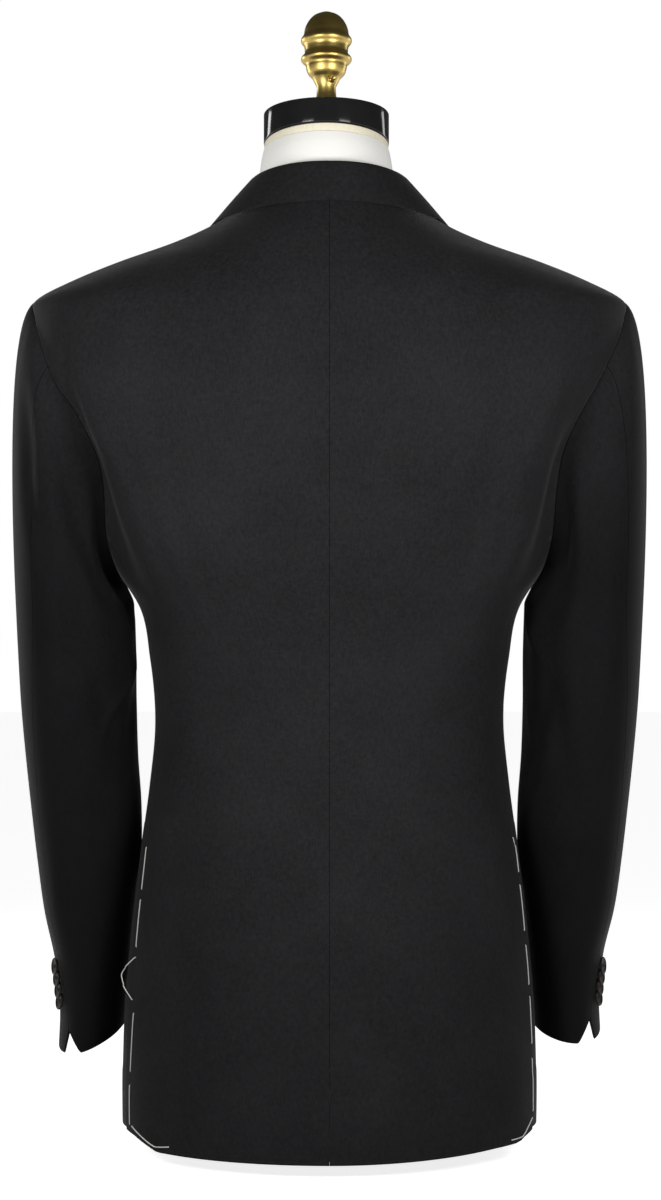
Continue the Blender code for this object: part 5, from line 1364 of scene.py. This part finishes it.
def threads(name, paths, radius, material, sides=8):
    """Round threads as one piece. Each path holds its points and the way up at each of them."""
    spin = 2 * np.pi * np.arange(sides) / sides
    points, faces = [], []
    for path, up in paths:
        run = unit(np.gradient(path, axis=0))
        aside = unit(np.cross(run, up))
        above = np.cross(aside, run)
        ring = aside[:, None] * np.cos(spin)[:, None] + above[:, None] * np.sin(spin)[:, None]
        faces += tube_faces(len(path), sides, first=len(points))
        points.extend((path[:, None] + radius * ring).reshape(-1, 3))
    return mesh_piece(name, points, faces, material, smooth_below=80.0)


def button(name, centre, normal, up, radius):
    """A turned button, and the paths of the four stitches that hold it."""
    across = unit(np.cross(up, normal))
    upright = np.cross(normal, across)
    radii, heights = np.array(BUTTON_PROFILE).T * [[radius], [BUTTON_THICKNESS]]
    axes = np.array([across, upright, normal])
    turned(f"{name}_horn", radii, heights, lambda p: centre + p @ axes, horn, name, segments=64)
    paths = []
    for x in (-STITCH_APART, STITCH_APART):
        way, height = STITCH_WAY.T
        local = np.stack([x * radius + 0 * way, way * radius, height * BUTTON_THICKNESS], -1)
        path = centre + curve_through(local, 19) @ axes
        paths.append((path, np.broadcast_to(across, path.shape)))
    shank = np.array([(0, 0, -1.2 * BUTTON_SHANK), (0, 0, 0), (0, 0, 0.3 * BUTTON_THICKNESS)])
    return paths, (centre + shank @ axes, np.broadcast_to(across, shank.shape))


bpy.context.view_layer.update()
front = bpy.data.objects["front_left_cloth"]
stitches, shanks, holes = [], [], []
for word, height in FRONT_BUTTON_HEIGHTS:
    _, place, normal, _ = front.ray_cast((0, -1, height), (0, 1, 0))
    centre, normal = np.array(place + normal * BUTTON_SHANK), np.array(normal)
    upright = np.array([0.0, 0.0, 1.0])
    paths, shank = button(f"front_button_{word}", centre, normal, upright, FRONT_BUTTON_RADIUS)
    stitches += paths
    shanks.append(shank)
    lip = []
    for t in np.linspace(0, 2 * np.pi, 49):
        x = np.mean(BUTTONHOLE) + np.cos(t) * np.ptp(BUTTONHOLE) / 2
        lift = BUTTONHOLE_HALF_WIDTH * np.sign(np.sin(t)) * abs(np.sin(t)) ** BUTTONHOLE_ROUNDING
        lip.append(front.ray_cast((x, -1, height + lift), (0, 1, 0))[1])
    holes.append((np.array(lip), np.broadcast_to(normal, (len(lip), 3))))
threads("front_button_stitches", stitches, FRONT_STITCH_RADIUS, twist)
threads("front_button_shanks", shanks, FRONT_SHANK_RADIUS, twist)
threads("front_buttonholes", holes, BUTTONHOLE_THREAD_RADIUS, twist)

tilt = math.asin((BUTTON_THICKNESS + BUTTON_OVERLAP_GAP) / CUFF_BUTTON_PITCH)
for word, side in SIDES:
    stitches, shanks = [], []
    for k in range(CUFF_BUTTONS):
        height = CUFF_BUTTON_LOWEST[side] + k * CUFF_BUTTON_PITCH
        around, level = np.radians([at(SLEEVE, "hind", height) - CUFF_BUTTON_TURN]), np.array([height])
        ring = sleeve_ring(around, level, side)[0]
        up = unit(sleeve_ring(around, level + 0.01, side)[0] - ring)
        beside = unit(sleeve_ring(around + 0.05, level, side)[0] - ring)
        normal = unit(np.cross(beside, up))
        mirror = np.array([side, 1, 1])
        leant_normal = (normal * math.cos(tilt) + up * math.sin(tilt)) * mirror
        leant_up = (up * math.cos(tilt) - normal * math.sin(tilt)) * mirror
        centre = (ring + normal * (CUFF_BUTTON_RADIUS * math.sin(tilt) + BUTTON_SHANK)) * mirror
        name = f"cuff_button_{word}_{k + 1}"
        paths, shank = button(name, centre, leant_normal, leant_up, CUFF_BUTTON_RADIUS)
        stitches += paths
        shanks.append(shank)
    threads(f"cuff_button_stitches_{word}", stitches, CUFF_STITCH_RADIUS, twist)
    threads(f"cuff_button_shanks_{word}", shanks, CUFF_SHANK_RADIUS, twist)

# ---------------------------------------------------------------- basting
# White cotton basting still holds each back vent shut: long running stitches down the lapped edge,
# a slack one on the left, and a last one across each hem corner.

# Each stitch is the places that it runs through: height, how far it lies past the seam line
# towards the front, and how far it stands off the cloth, all in millimetres.
BASTING = {
    "left": (
        ((243, -2.1, 0), (226, -2.4, 0), (209, -1.9, 0)),
        ((202, -1.8, 0), (183, -1.4, 0), (164, -1.5, 0)),
        ((157, -2.2, 0), (152, 2.5, 3.0), (146, 9.5, 5.5), (141.5, 13, 6.5), (137, 10.5, 6.0),
         (130, 2.8, 4.0), (126, 0.2, 1.5), (123, -1.8, 0)),
        ((114.5, -6.5, 0), (90, -4.8, 0), (67, -3.0, 0)),
        ((58, -2.6, 0), (43, -2.0, 0), (26, -1.8, 0)),
        ((26.5, -5.2, 0), (20.6, -23, 0), (15.2, -39, 0), (14.4, -42.5, 0), (14.6, -46, 0), (16.2, -60, 0)),
    ),
    "right": (
        ((250, 4.4, 0), (240, 6.2, 0), (222, 7.0, 0)),
        ((213, 6.6, 0), (195, 7.1, 0), (176, 6.8, 0)),
        ((166, 6.6, 0), (150, 7.0, 0), (134, 6.6, 0)),
        ((126, 6.8, 0), (107, 6.4, 0), (88, 6.8, 0)),
        ((78, 6.4, 0), (56, 7.0, 0), (35, 7.4, 0)),
        ((31.5, 6.9, 0), (26, -3, 0), (20.4, -12.6, 0), (19.2, -15.5, 0), (18.9, -19, 0), (18.4, -33, 0)),
    ),
}
BASTING_RADIUS = 0.00045
BASTING_DIP = 0.0009
BASTING_LOOK = 0.020  # how far outside the cloth each place is dropped onto it from

cotton, wire, where = finish("basting_cotton", Roughness=0.85, Sheen_Weight=0.2)
plies = noise(wire, where, 1800.0, 2.0)
feed(cotton, "Base Color", plies.blend((0.50, 0.49, 0.45, 1), (0.74, 0.73, 0.69, 1)))
feed(cotton, "Normal", bumped(wire, plies, 0.00015, 0.6))


def on_back(back, side, places):
    """Points off a back's outer face, and the way out from it at each."""
    height, past_seam, stand = places.T
    flip = np.array([side, 1, 1])
    angle = seam_angle(height, False) + past_seam / at(BODY, "half_width", height)
    outward = body_normal(angle, height, side) * flip
    over = body(angle, height, side) * flip + outward * BASTING_LOOK
    path = []
    for start, out, lift in zip(over, outward, stand):
        hit, place, _, _ = back.ray_cast(start, -out)
        path.append((np.array(place) if hit else start - out * (BASTING_LOOK - WALL)) + out * lift)
    return np.array(path), outward


for word, side in SIDES:
    back = bpy.data.objects[f"back_{word}_cloth"]
    paths = []
    for places in BASTING[word]:
        places = curve_through(np.array(places, float) * 0.001, 33)
        places[:, 2] += 0.7 * BASTING_RADIUS
        places[[0, -1], 2] = -BASTING_DIP
        paths.append(on_back(back, side, places))
    threads(f"basting_{word}", paths, BASTING_RADIUS, cotton)
